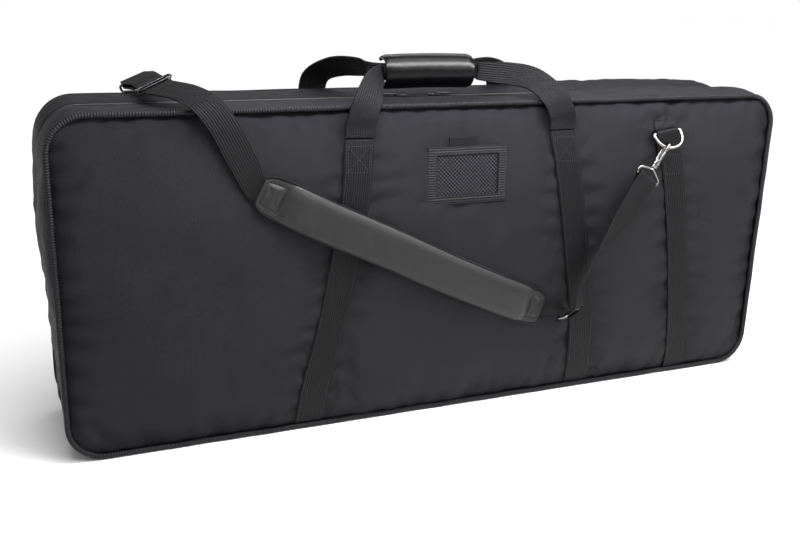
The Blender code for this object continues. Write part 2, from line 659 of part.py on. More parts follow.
def shoulder_strap(finishes):
    centre, long_way, short_way, normal = strap_ring_frame()
    ring = [(-0.0095, -0.0180), (-0.0078, -0.0192), (0.0078, -0.0192), (0.0095, -0.0180), (0.0095, 0.0180),
            (0.0078, 0.0192), (-0.0078, 0.0192), (-0.0095, 0.0180)]
    window = box_loop((-0.0062, -0.0162), (0.0062, 0.0162))
    plate("strap_ring", ring, 0.0030, (centre, short_way, long_way), finishes["metal"], holes=[window])

    wrap = 0.0040
    width = SHOULDER_WIDTH
    inner_bar = centre - short_way * 0.0079
    main = [(inner_bar + normal * 0.0034 - short_way * 0.0080, long_way, RING_WEBBING)]
    for turn in (0, 45, 90, 135, 180):
        angle = math.radians(turn)
        spot = inner_bar + normal * wrap * math.cos(angle) + short_way * wrap * math.sin(angle)
        main.append((spot, long_way, RING_WEBBING))
    tilt = Vector((0.428, 0.0, 0.904))
    start = inner_bar - normal * wrap - short_way * 0.0035 + Vector((-0.0020, 0.0, 0.0006))
    route = [(tuple(start), tuple(long_way), RING_WEBBING),
             ((0.1395, -0.1024, 0.1305), (0.60, 0.15, 0.75), 0.030),
             ((0.1290, -0.1006, 0.1320), (0.48, 0, 0.87), 0.032),
             ((0.115, -0.1004, 0.1365), tilt, width),
             ((0.084, -0.1004, 0.1490), tilt, width)]
    back = [(-0.010, 0.1925), (-0.104, 0.2400), (-0.185, 0.2790), (-0.229, 0.3020), (-0.270, 0.3240)]
    route += [((x, -0.1004, z), tilt, width) for x, z in back]
    route += [
        ((-0.284, -0.1010, 0.3480), (0.80, 0, 0.55), width),
        ((-0.298, -0.1020, 0.3760), (0.90, 0, 0.42), width),
        ((-0.312, -0.1015, 0.4030), (0.93, 0, 0.38), width),
        ((-0.329, -0.0960, 0.4260), (0.93, 0.1, 0.38), width),
        ((-0.348, -0.0780, 0.4370), (0.93, 0.15, 0.38), width),
        ((-0.364, -0.0520, 0.4390), (0.92, 0.08, 0.40), width),
        ((-0.3710, -0.0300, 0.4390), (0.91, 0, 0.42), width),
        ((-0.3725, 0.0450, 0.4380), (0.91, 0, 0.42), width),
    ]
    ribbon("shoulder_webbing_main", main + smoothed(route, 3), finishes["webbing"], level=True)

    outer_bar = centre + short_way * 0.0079
    lower = eye_wrap(-1, 0.040, 0.024, 1)
    route = [
        (tuple(lower[-1][0]), tuple(lower[-1][1]), width),
        ((0.2300, -0.1160, 0.2500), (0.72, 0.30, -0.45), width),
        ((0.1980, -0.1170, 0.2050), (0.50, 0.75, -0.30), width),
        ((0.1750, -0.1190, 0.1650), (0.62, 0.78, -0.15), 0.032),
        (tuple(outer_bar - normal * 0.0050 + short_way * 0.012 + long_way * 0.002), tuple(long_way), RING_WEBBING),
    ]
    foot = []
    for turn in (0, 45, 90, 135, 180):
        angle = math.radians(turn)
        spot = outer_bar - normal * wrap * math.cos(angle) - short_way * wrap * math.sin(angle)
        foot.append((spot, long_way, RING_WEBBING))
    foot.append((outer_bar + normal * 0.0030 + short_way * 0.009, long_way, RING_WEBBING))
    ribbon("shoulder_webbing_lower", lower[:-1] + smoothed(route, 4) + foot, finishes["webbing"], level=True)

    pad_layer("pad_backing", 0.1033, 0.0013, 0.0, finishes["lining"])
    pad_layer("pad_foam", 0.1110, 0.0074, 0.002, finishes["foam"])
    pad_layer("pad_face", 0.1130, 0.0017, 0.0, finishes["leather"])

    bar, shank, across, face = eye_bar(1)
    if face.y < 0:
        face = -face
    level = (0.91, 0, 0.42)
    rows = [((-0.3728, 0.0468, 0.4380), level, width), ((-0.3745, 0.0700, 0.4388), level, width)]
    for turn in (-8, 30, 60, 90, 120, 150, 188):
        angle = math.radians(turn)
        rows.append((bar + shank * wrap * math.cos(angle) + face * wrap * math.sin(angle), across, width))
    rows.append(((-0.3765, 0.0790, 0.4318), level, width))
    rows.append(((-0.3735, 0.0480, 0.4345), level, width))
    ribbon("rear_strap_loop", rows, finishes["webbing"])


def tri_glide(finish):
    """Adjuster round the shoulder webbing: an upper frame and a centre bar under the webbing."""
    spot = Vector((-0.3714, -0.0100, 0.4388))
    travel = (Vector((-0.3725, 0.0450, 0.4380)) - Vector((-0.3710, -0.0300, 0.4390))).normalized()
    across = Vector((0.91, 0, 0.42))
    across = (across - travel * across.dot(travel)).normalized()
    face = travel.cross(across).normalized()
    if face.z < 0:
        face = -face
    lift = WEBBING / 2 + 0.0005
    frame = (spot + face * (lift + 0.0012), travel, across)
    outer = [(-0.0105, -0.0195), (-0.0085, -0.0225), (0.0085, -0.0225), (0.0105, -0.0195), (0.0105, 0.0195),
             (0.0085, 0.0225), (-0.0085, 0.0225), (-0.0105, 0.0195)]
    body = plate("tri_glide", outer, 0.0024, frame, finish, holes=[box_loop((-0.0075, -0.0178), (0.0075, 0.0178))],
                 origin=spot)
    low = -(lift + 0.0022)
    bracket = [(-0.0210, low), (0.0210, low), (0.0210, lift + 0.0010), (0.0182, lift + 0.0010),
               (0.0182, -lift), (-0.0182, -lift), (-0.0182, lift + 0.0010), (-0.0210, lift + 0.0010)]
    bar = plate("bar_guide", bracket, 0.0030, (spot, across, face), finish)
    join(body, bar)


# ID pocket

def pocket_frame():
    x, z = POCKET_CENTRE
    base = Vector((x, -(DEPTH / 2 + crown(x, z) + 0.0012 + 0.0005), z))
    upward = Vector((0, math.sin(POCKET_TILT), math.cos(POCKET_TILT)))
    return base, Vector((1, 0, 0)), upward, Vector((0, -math.cos(POCKET_TILT), math.sin(POCKET_TILT)))


def id_pocket(finishes):
    base, along, upward, out = pocket_frame()
    wide, tall, window_wide, window_tall = 0.0565, 0.0365, 0.0440, 0.0270
    cavity, skin = 0.0014, 0.0014
    front = base + out * (cavity + skin / 2)
    body = plate("id_pocket_frame", box_loop((-wide, -tall), (wide, tall)), skin, (front, along, upward),
                 finishes["webbing"], holes=[box_loop((-window_wide, -window_tall), (window_wide, window_tall))])
    sides = [(-wide, -tall), (wide, -tall), (wide, tall), (0.0462, tall), (0.0462, -0.0275), (-0.0462, -0.0275),
             (-0.0462, tall), (-wide, tall)]
    rails = plate("pocket_rail_guide", sides, cavity + 0.0002, (base + out * (cavity / 2 + 0.0001), along, upward),
                  finishes["webbing"])
    join(body, rails)
    mesh_edge = 0.0004
    plate("id_mesh_window", box_loop((-window_wide + mesh_edge, -window_tall + mesh_edge),
                                     (window_wide - mesh_edge, window_tall - mesh_edge)),
          0.0008, (front, along, upward), finishes["mesh"])
    card = base + out * 0.0006
    plate("id_card", box_loop((-0.0450, -0.0268), (0.0450, 0.0362)), 0.0006, (card, along, upward), finishes["card"])
    plate("id_pull_tab", box_loop((-0.0265, 0.0369), (0.0135, 0.0490)), 0.0014,
          (base + out * 0.0012, along, upward), finishes["webbing"])


def build():
    clear_scene()
    finishes = {
        "nylon": material("nylon", (0.045, 0.046, 0.052), 0.75),
        "piping": material("piping", (0.035, 0.035, 0.037), 0.65),
        "webbing": material("webbing", (0.040, 0.040, 0.043), 0.7),
        "zip": material("zip", (0.030, 0.030, 0.032), 0.6),
        "foam": material("foam", (0.10, 0.10, 0.11), 0.9),
        "lining": material("lining", (0.05, 0.05, 0.055), 0.85),
        "board": material("board", (0.03, 0.03, 0.03), 0.6),
        "leather": material("leather", (0.035, 0.035, 0.036), 0.4),
        "mesh": material("mesh", (0.03, 0.03, 0.033), 0.7),
        "card": material("card", (0.05, 0.05, 0.055), 0.6),
        "metal": material("metal", (0.60, 0.60, 0.60), 0.25, 1.0),
    }
    bottom(finishes)
    for side, where in ((-1, "front"), (1, "rear")):
        case_half(side, finishes)
        sewn_handle_strap(where + "_handle_strap_left", side, -1, finishes["webbing"])
        sewn_handle_strap(where + "_handle_strap_right", side, 1, finishes["webbing"])
        anchor_strap(where + "_anchor_strap", side, finishes["webbing"])
        anchor_patch(where + "_anchor_patch", side, finishes["nylon"])
        d_ring(where + "_d_ring", side, finishes["metal"])
        snap_hook(where, side, finishes)
        handle_loop(where + "_handle_loop", side, finishes["webbing"])
    grip(finishes)
    zip_slider("left", SLIDER_X[0], -1, finishes)
    zip_slider("right", SLIDER_X[1], 1, finishes)
    shoulder_strap(finishes)
    tri_glide(finishes["metal"])
    id_pocket(finishes)


build()
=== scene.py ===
import math

import bpy
from mathutils import Matrix, Vector, noise
from mathutils.bvhtree import BVHTree


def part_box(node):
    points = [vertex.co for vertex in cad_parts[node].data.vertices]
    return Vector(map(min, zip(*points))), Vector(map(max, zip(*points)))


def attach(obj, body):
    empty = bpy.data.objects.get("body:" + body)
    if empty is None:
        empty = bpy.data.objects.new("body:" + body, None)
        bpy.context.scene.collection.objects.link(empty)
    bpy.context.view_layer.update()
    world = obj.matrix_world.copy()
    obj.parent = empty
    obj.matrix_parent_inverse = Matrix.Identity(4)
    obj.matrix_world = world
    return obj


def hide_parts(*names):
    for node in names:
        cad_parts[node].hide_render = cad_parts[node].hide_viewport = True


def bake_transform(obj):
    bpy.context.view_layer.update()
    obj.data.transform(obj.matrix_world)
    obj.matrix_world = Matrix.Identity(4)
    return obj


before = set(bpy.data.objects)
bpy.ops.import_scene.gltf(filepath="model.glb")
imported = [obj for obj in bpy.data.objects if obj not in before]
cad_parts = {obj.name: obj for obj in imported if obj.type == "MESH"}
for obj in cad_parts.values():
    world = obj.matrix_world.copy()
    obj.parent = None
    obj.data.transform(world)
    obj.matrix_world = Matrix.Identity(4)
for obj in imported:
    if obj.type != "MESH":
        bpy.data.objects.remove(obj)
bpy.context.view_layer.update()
print("frame loaded:", len(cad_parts), "nodes")

case = {
    "length": 1.016, "height": 0.420, "depth": 0.170, "corner": 0.048, "crown": 0.010,
    "rimInset": 0.0064, "pipingInset": 0.004, "gussetInset": 0.0035, "zipEnd": 0.075,
    "hingeZ": 0.380, "hingeY": 0.09205, "seamX": 0.5016, "seamLow": 0.0064, "seamHigh": 0.4136,
}

# where the sewn straps run: (z, x) on either panel
strapLines = {
    "handleLeft": ((0.0, -0.207), (0.06, -0.200), (0.14, -0.180), (0.243, -0.159), (0.31, -0.148), (0.380, -0.143)),
    "handleRight": ((0.0, 0.200), (0.11, 0.194), (0.21, 0.178), (0.254, 0.170), (0.317, 0.157), (0.380, 0.143)),
    "frontAnchor": ((0.0, 0.375), (0.1, 0.365), (0.2, 0.351), (0.28, 0.3365), (0.33, 0.3245), (0.372, 0.3115)),
    "rearAnchor": ((0.0, -0.405), (0.1, -0.398), (0.2, -0.387), (0.28, -0.374), (0.33, -0.364), (0.372, -0.354)),
}

# places and directions of the fittings at the front ring and the rear ring
hookFrames = {
    # the ring's bar, its length and its fall; the hook's shank, the side it bends to and where it starts; the eye
    -1: {"ring": (0.3105, -0.0956, 0.3705), "along": (0.989, 0, 0.1478), "reach": (0.1149, -0.6293, -0.7686),
         "shank": (-0.5811, -0.0601, -0.8116), "spread": (-0.259, -0.932, 0.2545), "start": (0.3048, -0.1089, 0.3571),
         "flat": (0.815, 0, -0.58), "bar": (0.2713, -0.1123, 0.3104)},
    1: {"ring": (-0.354, 0.0956, 0.3705), "along": (0.989, 0, -0.1478), "reach": (0.1027, 0.7193, 0.6870),
        "shank": (-0.3731, -0.2611, 0.8903), "spread": (-0.330, 0.934, 0.1357), "start": (-0.3596, 0.1134, 0.3820),
        "flat": (0.906, 0, 0.423), "bar": (-0.3811, 0.0984, 0.4333)},
}
# the card pocket on the front panel
pocket = {
    "x": 0.003, "z": 0.3275, "tilt": math.radians(2.5), "wide": 0.0565, "tall": 0.0365, "windowWide": 0.0440,
    "windowTall": 0.0270, "skin": 0.0014, "cavity": 0.0014, "windowLap": 0.0002,
    "bindingX": 0.0568, "bindingZ": 0.0362, "bindingOff": 0.0018, "binding": 0.0012, "stitchEvery": 0.0034,
}


def pickOnly(*chosen):
    bpy.ops.object.select_all(action="DESELECT")
    for piece in chosen:
        piece.select_set(True)
    bpy.context.view_layer.objects.active = chosen[0]


def applyModifier(piece, kind, **settings):
    modifier = piece.modifiers.new(kind.title(), kind)
    for name, value in settings.items():
        setattr(modifier, name, value)
    pickOnly(piece)
    bpy.ops.object.modifier_apply(modifier=modifier.name)
    return piece


def thicken(piece, thickness, offset=-1):
    return applyModifier(piece, "SOLIDIFY", thickness=thickness, offset=offset)


def roundEdges(piece, width, segments=2, angle=50):
    return applyModifier(piece, "BEVEL", width=width, segments=segments, limit_method="ANGLE",
                         angle_limit=math.radians(angle))


def joinPieces(name, *pieces):
    pickOnly(*pieces)
    bpy.ops.object.join()
    joined = bpy.context.object
    joined.name = joined.data.name = name
    return joined


def bodySide(side):
    return ("front", "front_lid") if side < 0 else ("rear", "rear_shell")


def editAll(piece, *steps):
    # runs edit-mode operators on the whole piece
    pickOnly(piece)
    bpy.ops.object.mode_set(mode="EDIT")
    bpy.ops.mesh.select_mode(type="VERT")
    for step in steps:
        bpy.ops.mesh.select_all(action="SELECT")
        step()
    bpy.ops.object.mode_set(mode="OBJECT")
    return piece


def weld():
    bpy.ops.mesh.remove_doubles(threshold=0.00002)


def faceOut():
    bpy.ops.mesh.normals_make_consistent(inside=False)


def turnOver():
    bpy.ops.mesh.flip_normals()


def capEnds():
    bpy.ops.mesh.select_all(action="DESELECT")
    bpy.ops.mesh.select_non_manifold(extend=False)
    bpy.ops.mesh.fill_holes(sides=0)


def gridPiece(name, across, along, placer):
    # a grid whose every corner is placed by placer(u, v), which gives its point and its UV in metres
    bpy.ops.object.select_all(action="DESELECT")
    bpy.ops.mesh.primitive_grid_add(x_subdivisions=across, y_subdivisions=along, size=1, calc_uvs=True)
    piece = bpy.context.object
    piece.name = piece.data.name = name
    flat = []
    for corner in piece.data.vertices:
        spot, uv = placer(corner.co.x + 0.5, corner.co.y + 0.5)
        corner.co = spot
        flat.append(uv)
    layer = piece.data.uv_layers.active.data
    for loop in piece.data.loops:
        layer[loop.index].uv = flat[loop.vertex_index]
    return piece


def finishPiece(piece, material, body, nodes=(), angle=50):
    piece.data.materials.clear()
    piece.data.materials.append(material)
    pickOnly(piece)
    bpy.ops.object.shade_smooth_by_angle(angle=math.radians(angle))
    if body:
        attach(piece, body)
    if nodes:
        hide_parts(*nodes)
    return piece


def tableValue(table, at):
    # smooth value through (position, value) rows
    count = len(table)
    for index in range(count - 1):
        low, high = table[index], table[index + 1]
        if at > high[0] and index < count - 2:
            continue
        before, after = table[max(index - 1, 0)], table[min(index + 2, count - 1)]
        t = (at - low[0]) / (high[0] - low[0])
        span = high[0] - low[0]
        slopeLow = (high[1] - before[1]) / (high[0] - before[0])
        slopeHigh = (after[1] - low[1]) / (after[0] - low[0])
        return (low[1] * (1 + 2 * t) * (1 - t) ** 2 + slopeLow * span * t * (1 - t) ** 2
                + high[1] * t * t * (3 - 2 * t) + slopeHigh * span * t * t * (t - 1))
    return table[-1][1]


def smoothRows(stations, steps):
    # Catmull-Rom through (point, across, width) rows
    rows, count = [], len(stations)
    for index in range(count - 1):
        around = [stations[min(max(index + shift, 0), count - 1)] for shift in (-1, 0, 1, 2)]
        a, b, c, d = [Vector(row[0]) for row in around]
        for step in range(steps):
            t = step / steps
            spot = 0.5 * (2 * b + (c - a) * t + (2 * a - 5 * b + 4 * c - d) * t * t
                          + (3 * b - a - 3 * c + d) * t ** 3)
            across = Vector(around[1][1]).lerp(Vector(around[2][1]), t)
            rows.append((spot, across, around[1][2] + (around[2][2] - around[1][2]) * t))
    rows.append((Vector(stations[-1][0]), Vector(stations[-1][1]), stations[-1][2]))
    return rows


def crownAt(x, z):
    # how far a panel bulges past the flat: nothing at its rim, all of it in the middle
    acrossX = 1 - min(1.0, abs(x / 0.500)) ** 4
    return case["crown"] * acrossX * (1 - min(1.0, abs((z - case["height"] / 2) / 0.202)) ** 4)


def panelSpot(side, x, z, off):
    return Vector((x, side * (case["depth"] / 2 + crownAt(x, z) + off), z))


def rimLegs(inset):
    halfX, halfZ = case["length"] / 2 - inset, case["height"] / 2 - inset
    radius = case["corner"] - inset
    a, b, middle = halfX - radius, halfZ - radius, case["height"] / 2
    turn = radius * math.pi / 2
    return [
        (2 * a, (-a, middle - halfZ), (1, 0), None), (turn, (a, middle - b), radius, -90),
        (2 * b, (halfX, middle - b), (0, 1), None), (turn, (a, middle + b), radius, 0),
        (2 * a, (a, middle + halfZ), (-1, 0), None), (turn, (-a, middle + b), radius, 90),
        (2 * b, (-halfX, middle + b), (0, -1), None), (turn, (-a, middle - b), radius, 180),
    ]


def rimSpot(inset, distance):
    # a point on the case's outline and its outward direction, going right along the bottom first
    legs = rimLegs(inset)
    distance %= sum(leg[0] for leg in legs)
    for length, start, way, turn in legs:
        if distance > length:
            distance -= length
            continue
        if turn is None:
            spot = Vector((start[0] + way[0] * distance, 0, start[1] + way[1] * distance))
            return spot, Vector((way[1], 0, -way[0]))
        angle = math.radians(turn) + distance / way
        out = Vector((math.cos(angle), 0, math.sin(angle)))
        return Vector((start[0], 0, start[1])) + out * way, out
    return rimSpot(inset, 0.0)


def ripple(x, y, z, scale):
    return noise.noise(Vector((x, y, z)) / scale)


def acrossFrames(points, closed):
    # rotation-minimising cross directions along a line
    count = len(points)
    ways = []
    for index in range(count):
        after = points[(index + 1) % count] if closed or index < count - 1 else points[index]
        before = points[index - 1] if closed or index else points[index]
        ways.append((after - before).normalized())
    first = ways[0].orthogonal().normalized()
    frames = []
    for way in ways:
        first = (first - way * first.dot(way)).normalized()
        frames.append((first.copy(), way.cross(first)))
    return frames


def tubePiece(name, points, radius, sides, closed=False):
    # a round bar along a line; radius is a number or one number for each point
    points = [Vector(point) for point in points]
    frames = acrossFrames(points, closed)
    count = len(points)
    rows = count if closed else count - 1
    lengths = [0.0]
    for index in range(rows):
        lengths.append(lengths[-1] + (points[(index + 1) % count] - points[index]).length)

    def placer(u, v):
        step = round(v * rows)
        index = step % count
        size = radius[index] if isinstance(radius, (list, tuple)) else radius
        angle = 2 * math.pi * (1 - u)
        first, second = frames[index]
        spot = points[index] + (first * math.cos(angle) + second * math.sin(angle)) * size
        return spot, (u * 2 * math.pi * size, lengths[step])

    piece = gridPiece(name, sides, rows, placer)
    return editAll(piece, weld, faceOut) if closed else editAll(piece, weld, capEnds, faceOut)


webbingShape = {"cells": 8, "edge": 0.32}


def webbingPiece(name, rows, thickness, level=True, curl=0.0, waver=0.0):
    # flat webbing through rows of (point, across, width)
    spots = [Vector(row[0]) for row in rows]
    lengths = [0.0]
    for before, after in zip(spots, spots[1:]):
        lengths.append(lengths[-1] + (after - before).length)
    turned = []
    for index, (_, across, width) in enumerate(rows):
        ahead = (spots[min(index + 1, len(spots) - 1)] - spots[max(index - 1, 0)]).normalized()
        side = Vector(across)
        if not level:
            side = side - ahead * side.dot(ahead)
        side.normalize()
        turned.append((side, side.cross(ahead).normalized(), width))

    def placer(u, v):
        index = round(v * (len(rows) - 1))
        side, face, width = turned[index]
        offset = (u - 0.5) * width
        lift = curl * (2 * u - 1) ** 2 + waver * ripple(lengths[index], u * 0.02, 0.3, 0.03)
        return spots[index] + side * offset + face * lift, (offset, lengths[index])

    piece = gridPiece(name, webbingShape["cells"], len(rows) - 1, placer)
    thicken(piece, thickness, 0)
    return roundEdges(piece, thickness * webbingShape["edge"])


def copyAlong(name, model, placements):
    # one model repeated, each copy with its own mesh, joined as one piece
    copies = []
    for index, matrix in enumerate(placements):
        twin = bpy.data.objects.new(f"{name}Copy{index}", model.data.copy())
        bpy.context.scene.collection.objects.link(twin)
        twin.data.transform(matrix)
        copies.append(twin)
    return joinPieces(name, *copies)


def facing(spot, along, up):
    along = along.normalized()
    side = up.cross(along).normalized()
    top = along.cross(side)
    return Matrix((
        (along.x, side.x, top.x, spot.x), (along.y, side.y, top.y, spot.y),
        (along.z, side.z, top.z, spot.z), (0, 0, 0, 1)))


def linearColour(code):
    parts = [int(code[index:index + 2], 16) / 255 for index in (1, 3, 5)]
    return (*[part / 12.92 if part <= 0.04045 else ((part + 0.055) / 1.055) ** 2.4 for part in parts], 1.0)


def addNode(tree, kind, values, links=()):
    node = tree.nodes.new("ShaderNode" + kind)
    for name, value in values.items():
        if isinstance(name, int) or name in node.inputs:
            node.inputs[name].default_value = value
        else:
            setattr(node, name, value)
    for name, socket in dict(links).items():
        tree.links.new(socket, node.inputs[name])
    return node


def startMaterial(name, values):
    material = bpy.data.materials.new(name)
    material.use_nodes = True
    tree = material.node_tree
    shader = tree.nodes["Principled BSDF"]
    for key, value in values.items():
        shader.inputs[key].default_value = value
    return material, tree, shader


def mixedColours(tree, share, first, second):
    return addNode(tree, "Mix", {"data_type": "RGBA", 6: linearColour(first), 7: linearColour(second)},
                   {0: share}).outputs[2]


def reckon(tree, operation, first, **rest):
    # one sum on sockets and numbers: first, then by=, then plus=
    values, links = {"operation": operation, "use_clamp": rest.pop("clamp", False)}, {0: first}
    for name, value in rest.items():
        index = {"by": 1, "plus": 2}[name]
        (values if isinstance(value, (int, float)) else links)[index] = value
    return addNode(tree, "Math", values, links).outputs[0]


def noiseOf(tree, place, size, detail, **more):
    return addNode(tree, "TexNoise", {"Scale": size, "Detail": detail, **more}, {"Vector": place}).outputs[0]


def finishSurface(tree, shader, look, shades, roughness, height, spread, depth):
    # colour between the two shades, roughness either side of the plain value, and bump
    tree.links.new(mixedColours(tree, shades, look["dark"], look["light"]), shader.inputs["Base Color"])
    low, high = look["roughness"] - spread[0], look["roughness"] + spread[1]
    rough = addNode(tree, "MapRange", {"To Min": low, "To Max": high}, {"Value": roughness}).outputs[0]
    tree.links.new(rough, shader.inputs["Roughness"])
    bump = addNode(tree, "Bump", {"Strength": look["strength"], "Distance": depth}, {"Height": height})
    tree.links.new(bump.outputs[0], shader.inputs["Normal"])


def threadWave(tree, uv, direction, pitch, distort):
    # a wave texture repeats every 0.314 units at a scale of one
    return addNode(tree, "TexWave", {"bands_direction": direction, "Scale": 0.314159 / pitch, "Distortion": distort,
                                     "Detail": 0.0, "Detail Scale": 1.0}, {"Vector": uv}).outputs["Fac"]


def wovenMaterial(name, look):
    # threads crossing over and under, from the piece's own UV in metres
    look = {**wovenPlain, **look}
    material, tree, shader = startMaterial(name, {
        "Roughness": look["roughness"], "Sheen Weight": look["sheen"], "Sheen Roughness": 0.45,
        "Sheen Tint": linearColour("#d8d9e8"), "Specular IOR Level": look["specular"]})
    uv = addNode(tree, "UVMap", {}).outputs[0]
    place = addNode(tree, "TexCoord", {}).outputs["Object"]
    warp = threadWave(tree, uv, "X", look["pitchAcross"], look["distort"])
    weft = threadWave(tree, uv, "Y", look["pitchAlong"], look["distort"])
    if look["ribbed"]:
        crossing = reckon(tree, "MULTIPLY_ADD", warp, by=look["ribbed"], plus=weft)
        crossing = reckon(tree, "MULTIPLY", crossing, by=look["gain"])
    else:
        first, second = (reckon(tree, "SUBTRACT", wave, by=0.5) for wave in (warp, weft))
        crossing = reckon(tree, "MULTIPLY_ADD", reckon(tree, "MULTIPLY", first, by=second), by=2.0, plus=0.5)
    slubs = []
    for stretch in ((1.0, 0.12, 1.0), (0.12, 1.0, 1.0)):  # thicker stretches of single threads, each way
        longWise = addNode(tree, "Mapping", {"Scale": stretch}, {"Vector": uv}).outputs[0]
        slubs.append(noiseOf(tree, longWise, 1 / look["slub"], 3.0))
    slub = reckon(tree, "MULTIPLY", reckon(tree, "ADD", slubs[0], by=slubs[1]), by=0.5)
    cloudy = noiseOf(tree, place, 9.0, 4.0, Roughness=0.6)
    share = reckon(tree, "MULTIPLY_ADD", crossing, by=look["threadShade"], plus=look["start"])
    share = reckon(tree, "ADD", slub, by=share)
    share = reckon(tree, "MULTIPLY_ADD", cloudy, by=look["cloud"], plus=share, clamp=True)
    height = reckon(tree, "MULTIPLY_ADD", slub, by=0.35, plus=crossing)
    finishSurface(tree, shader, look, share, slub, height, (0.08, 0.10), look["depth"])
    return material


def leatheretteMaterial(name, look):
    # PU-coated cloth: pebbled grain under a soft gloss, brighter where it is rubbed
    material, tree, shader = startMaterial(name, {
        "Coat Weight": look["coat"], "Coat Roughness": 0.4, "Specular IOR Level": look["specular"],
        "Sheen Weight": look["sheen"], "Roughness": look["roughness"]})
    place = addNode(tree, "TexCoord", {}).outputs["Object"]
    grain = addNode(tree, "TexVoronoi", {"feature": "DISTANCE_TO_EDGE", "Scale": 1 / look["grain"]},
                    {"Vector": place}).outputs["Distance"]
    grain = addNode(tree, "MapRange", {"From Max": 0.25}, {"Value": grain}).outputs[0]
    creases = noiseOf(tree, place, 1 / look["crease"], 5.0, Distortion=0.8)
    share = reckon(tree, "MULTIPLY", grain, by=creases)
    height = reckon(tree, "MULTIPLY_ADD", creases, by=1.6, plus=grain)
    finishSurface(tree, shader, look, share, creases, height, (0.08, 0.12), look["depth"])
    return material


def metalMaterial(name, look):
    # nickel-plated zinc: polished plating with fine scuffs, duller in the recesses
    material, tree, shader = startMaterial(name, {"Metallic": 1.0, "Roughness": look["roughness"]})
    place = addNode(tree, "TexCoord", {}).outputs["Object"]
    scuff = noiseOf(tree, place, 380.0, 6.0, Roughness=0.7)
    patina = noiseOf(tree, place, 60.0, 3.0)
    finishSurface(tree, shader, {**look, "strength": 0.12}, patina, scuff, scuff, (0.06, 0.16), 0.0002)
    return material


def mouldedMaterial(name, look):
    # extruded or pressed stock with a fine tooth
    material, tree, shader = startMaterial(name, {"Roughness": look["roughness"]})
    place = addNode(tree, "TexCoord", {}).outputs["Object"]
    tooth = noiseOf(tree, place, 1 / look["grain"], 4.0)
    finishSurface(tree, shader, look, tooth, tooth, tooth, (0.08, 0.12), look["grain"] * 0.2)
    return material


# lengths in metres; ribbed adds the two waves, and a plain weave multiplies them
wovenPlain = {
    "specular": 0.12, "sheen": 0.0, "distort": 0.6, "ribbed": 0.0, "gain": 1.0, "slub": 0.004,
    "threadShade": 0.5, "start": -0.25,
}
# woven polyester, PU-backed: an even matt weave with a soft grey bloom at low angles
# its threads are about 0.5 mm apart, drawn at 1.1 mm so that they show
polyester = wovenMaterial("wovenPolyester", {
    "dark": "#060608", "light": "#1c1c21", "roughness": 0.46, "pitchAcross": 0.0011, "pitchAlong": 0.0011,
    "strength": 0.8, "depth": 0.0005, "cloud": 0.35})
# polypropylene webbing: hard ribs across and along, a little shine on each rib
webbing = wovenMaterial("ribbedWebbing", {
    "dark": "#030303", "light": "#18181a", "roughness": 0.50, "pitchAcross": 0.0030, "pitchAlong": 0.0018,
    "threadShade": 0.9, "start": -0.45, "gain": 0.31, "strength": 1.0, "depth": 0.0007, "ribbed": 2.2,
    "slub": 0.003, "cloud": 0.3, "distort": 1.2, "specular": 0.10})
# woven binding tape wrapped round a cord: close ribs across it
pipingTape = wovenMaterial("pipingTape", {
    "dark": "#030303", "light": "#222225", "roughness": 0.5, "pitchAcross": 0.004, "pitchAlong": 0.0032,
    "threadShade": 0.9, "start": -0.4, "gain": 0.8, "strength": 1.0, "depth": 0.0009, "ribbed": 0.2,
    "slub": 0.003, "cloud": 0.3})
# knitted zip tape: fine lengthwise ribs, matt
zipTape = wovenMaterial("knittedZipTape", {
    "dark": "#060607", "light": "#19191a", "roughness": 0.66, "sheen": 0.02, "pitchAcross": 0.0016,
    "pitchAlong": 0.0010, "strength": 0.6, "depth": 0.0003, "slub": 0.003, "cloud": 0.25})
# tricot lining: soft, duller and lighter than the outside
lining = wovenMaterial("tricotLining", {
    "dark": "#161618", "light": "#2a2b2e", "roughness": 0.8, "sheen": 0.06, "pitchAcross": 0.0016,
    "pitchAlong": 0.0024, "strength": 0.5, "depth": 0.0004, "cloud": 0.4})
# open mesh laid slantwise: raised knots in the thread's own grey, with painted shade in the holes, near-black for the
# dark pocket seen through them, as the sheet itself has no openings
meshCloth = wovenMaterial("idWindowMesh", {
    "dark": "#020202", "light": "#303036", "roughness": 0.5, "pitchAcross": 0.0036, "pitchAlong": 0.0036,
    "strength": 1.0, "depth": 0.0010, "cloud": 0.1, "threadShade": 2.0, "start": -1.1, "ribbed": 1.0,
    "gain": 0.5, "distort": 0.2, "specular": 0.1})
# grip wrap: glossy PU leatherette, highlights run along it
gripLeather = leatheretteMaterial("gripLeatherette", {
    "dark": "#020203", "light": "#060608", "roughness": 0.22, "coat": 0.0, "specular": 0.22, "grain": 0.0022,
    "crease": 0.012, "strength": 0.12, "depth": 0.0005, "sheen": 0.0})
# pad skin: satin-smooth coated cloth, softer shine
padLeather = leatheretteMaterial("padSkin", {
    "dark": "#161617", "light": "#282829", "roughness": 0.46, "coat": 0.04, "specular": 0.25, "grain": 0.0016,
    "crease": 0.02, "strength": 0.18, "depth": 0.0003, "sheen": 0.02})
# nickel plate on the rings and hooks
nickel = metalMaterial("nickelPlate", {"dark": "#5c5b59", "light": "#a09e9a", "roughness": 0.18})
# gunmetal plate on the zip sliders and the adjuster
darkNickel = metalMaterial("gunmetalPlate", {"dark": "#2c2c2f", "light": "#5f5f63", "roughness": 0.26})
# nylon monofilament of the zip coil
coil = mouldedMaterial("zipCoilNylon", {
    "dark": "#060607", "light": "#151516", "roughness": 0.36, "grain": 0.0012, "strength": 0.2})
# bonded polyester thread
thread = mouldedMaterial("bondedThread", {
    "dark": "#060606", "light": "#1d1d1f", "roughness": 0.5, "grain": 0.0006, "strength": 0.4})
# stiff paper card
cardStock = mouldedMaterial("cardStock", {
    "dark": "#161618", "light": "#222225", "roughness": 0.6, "grain": 0.0010, "strength": 0.2})
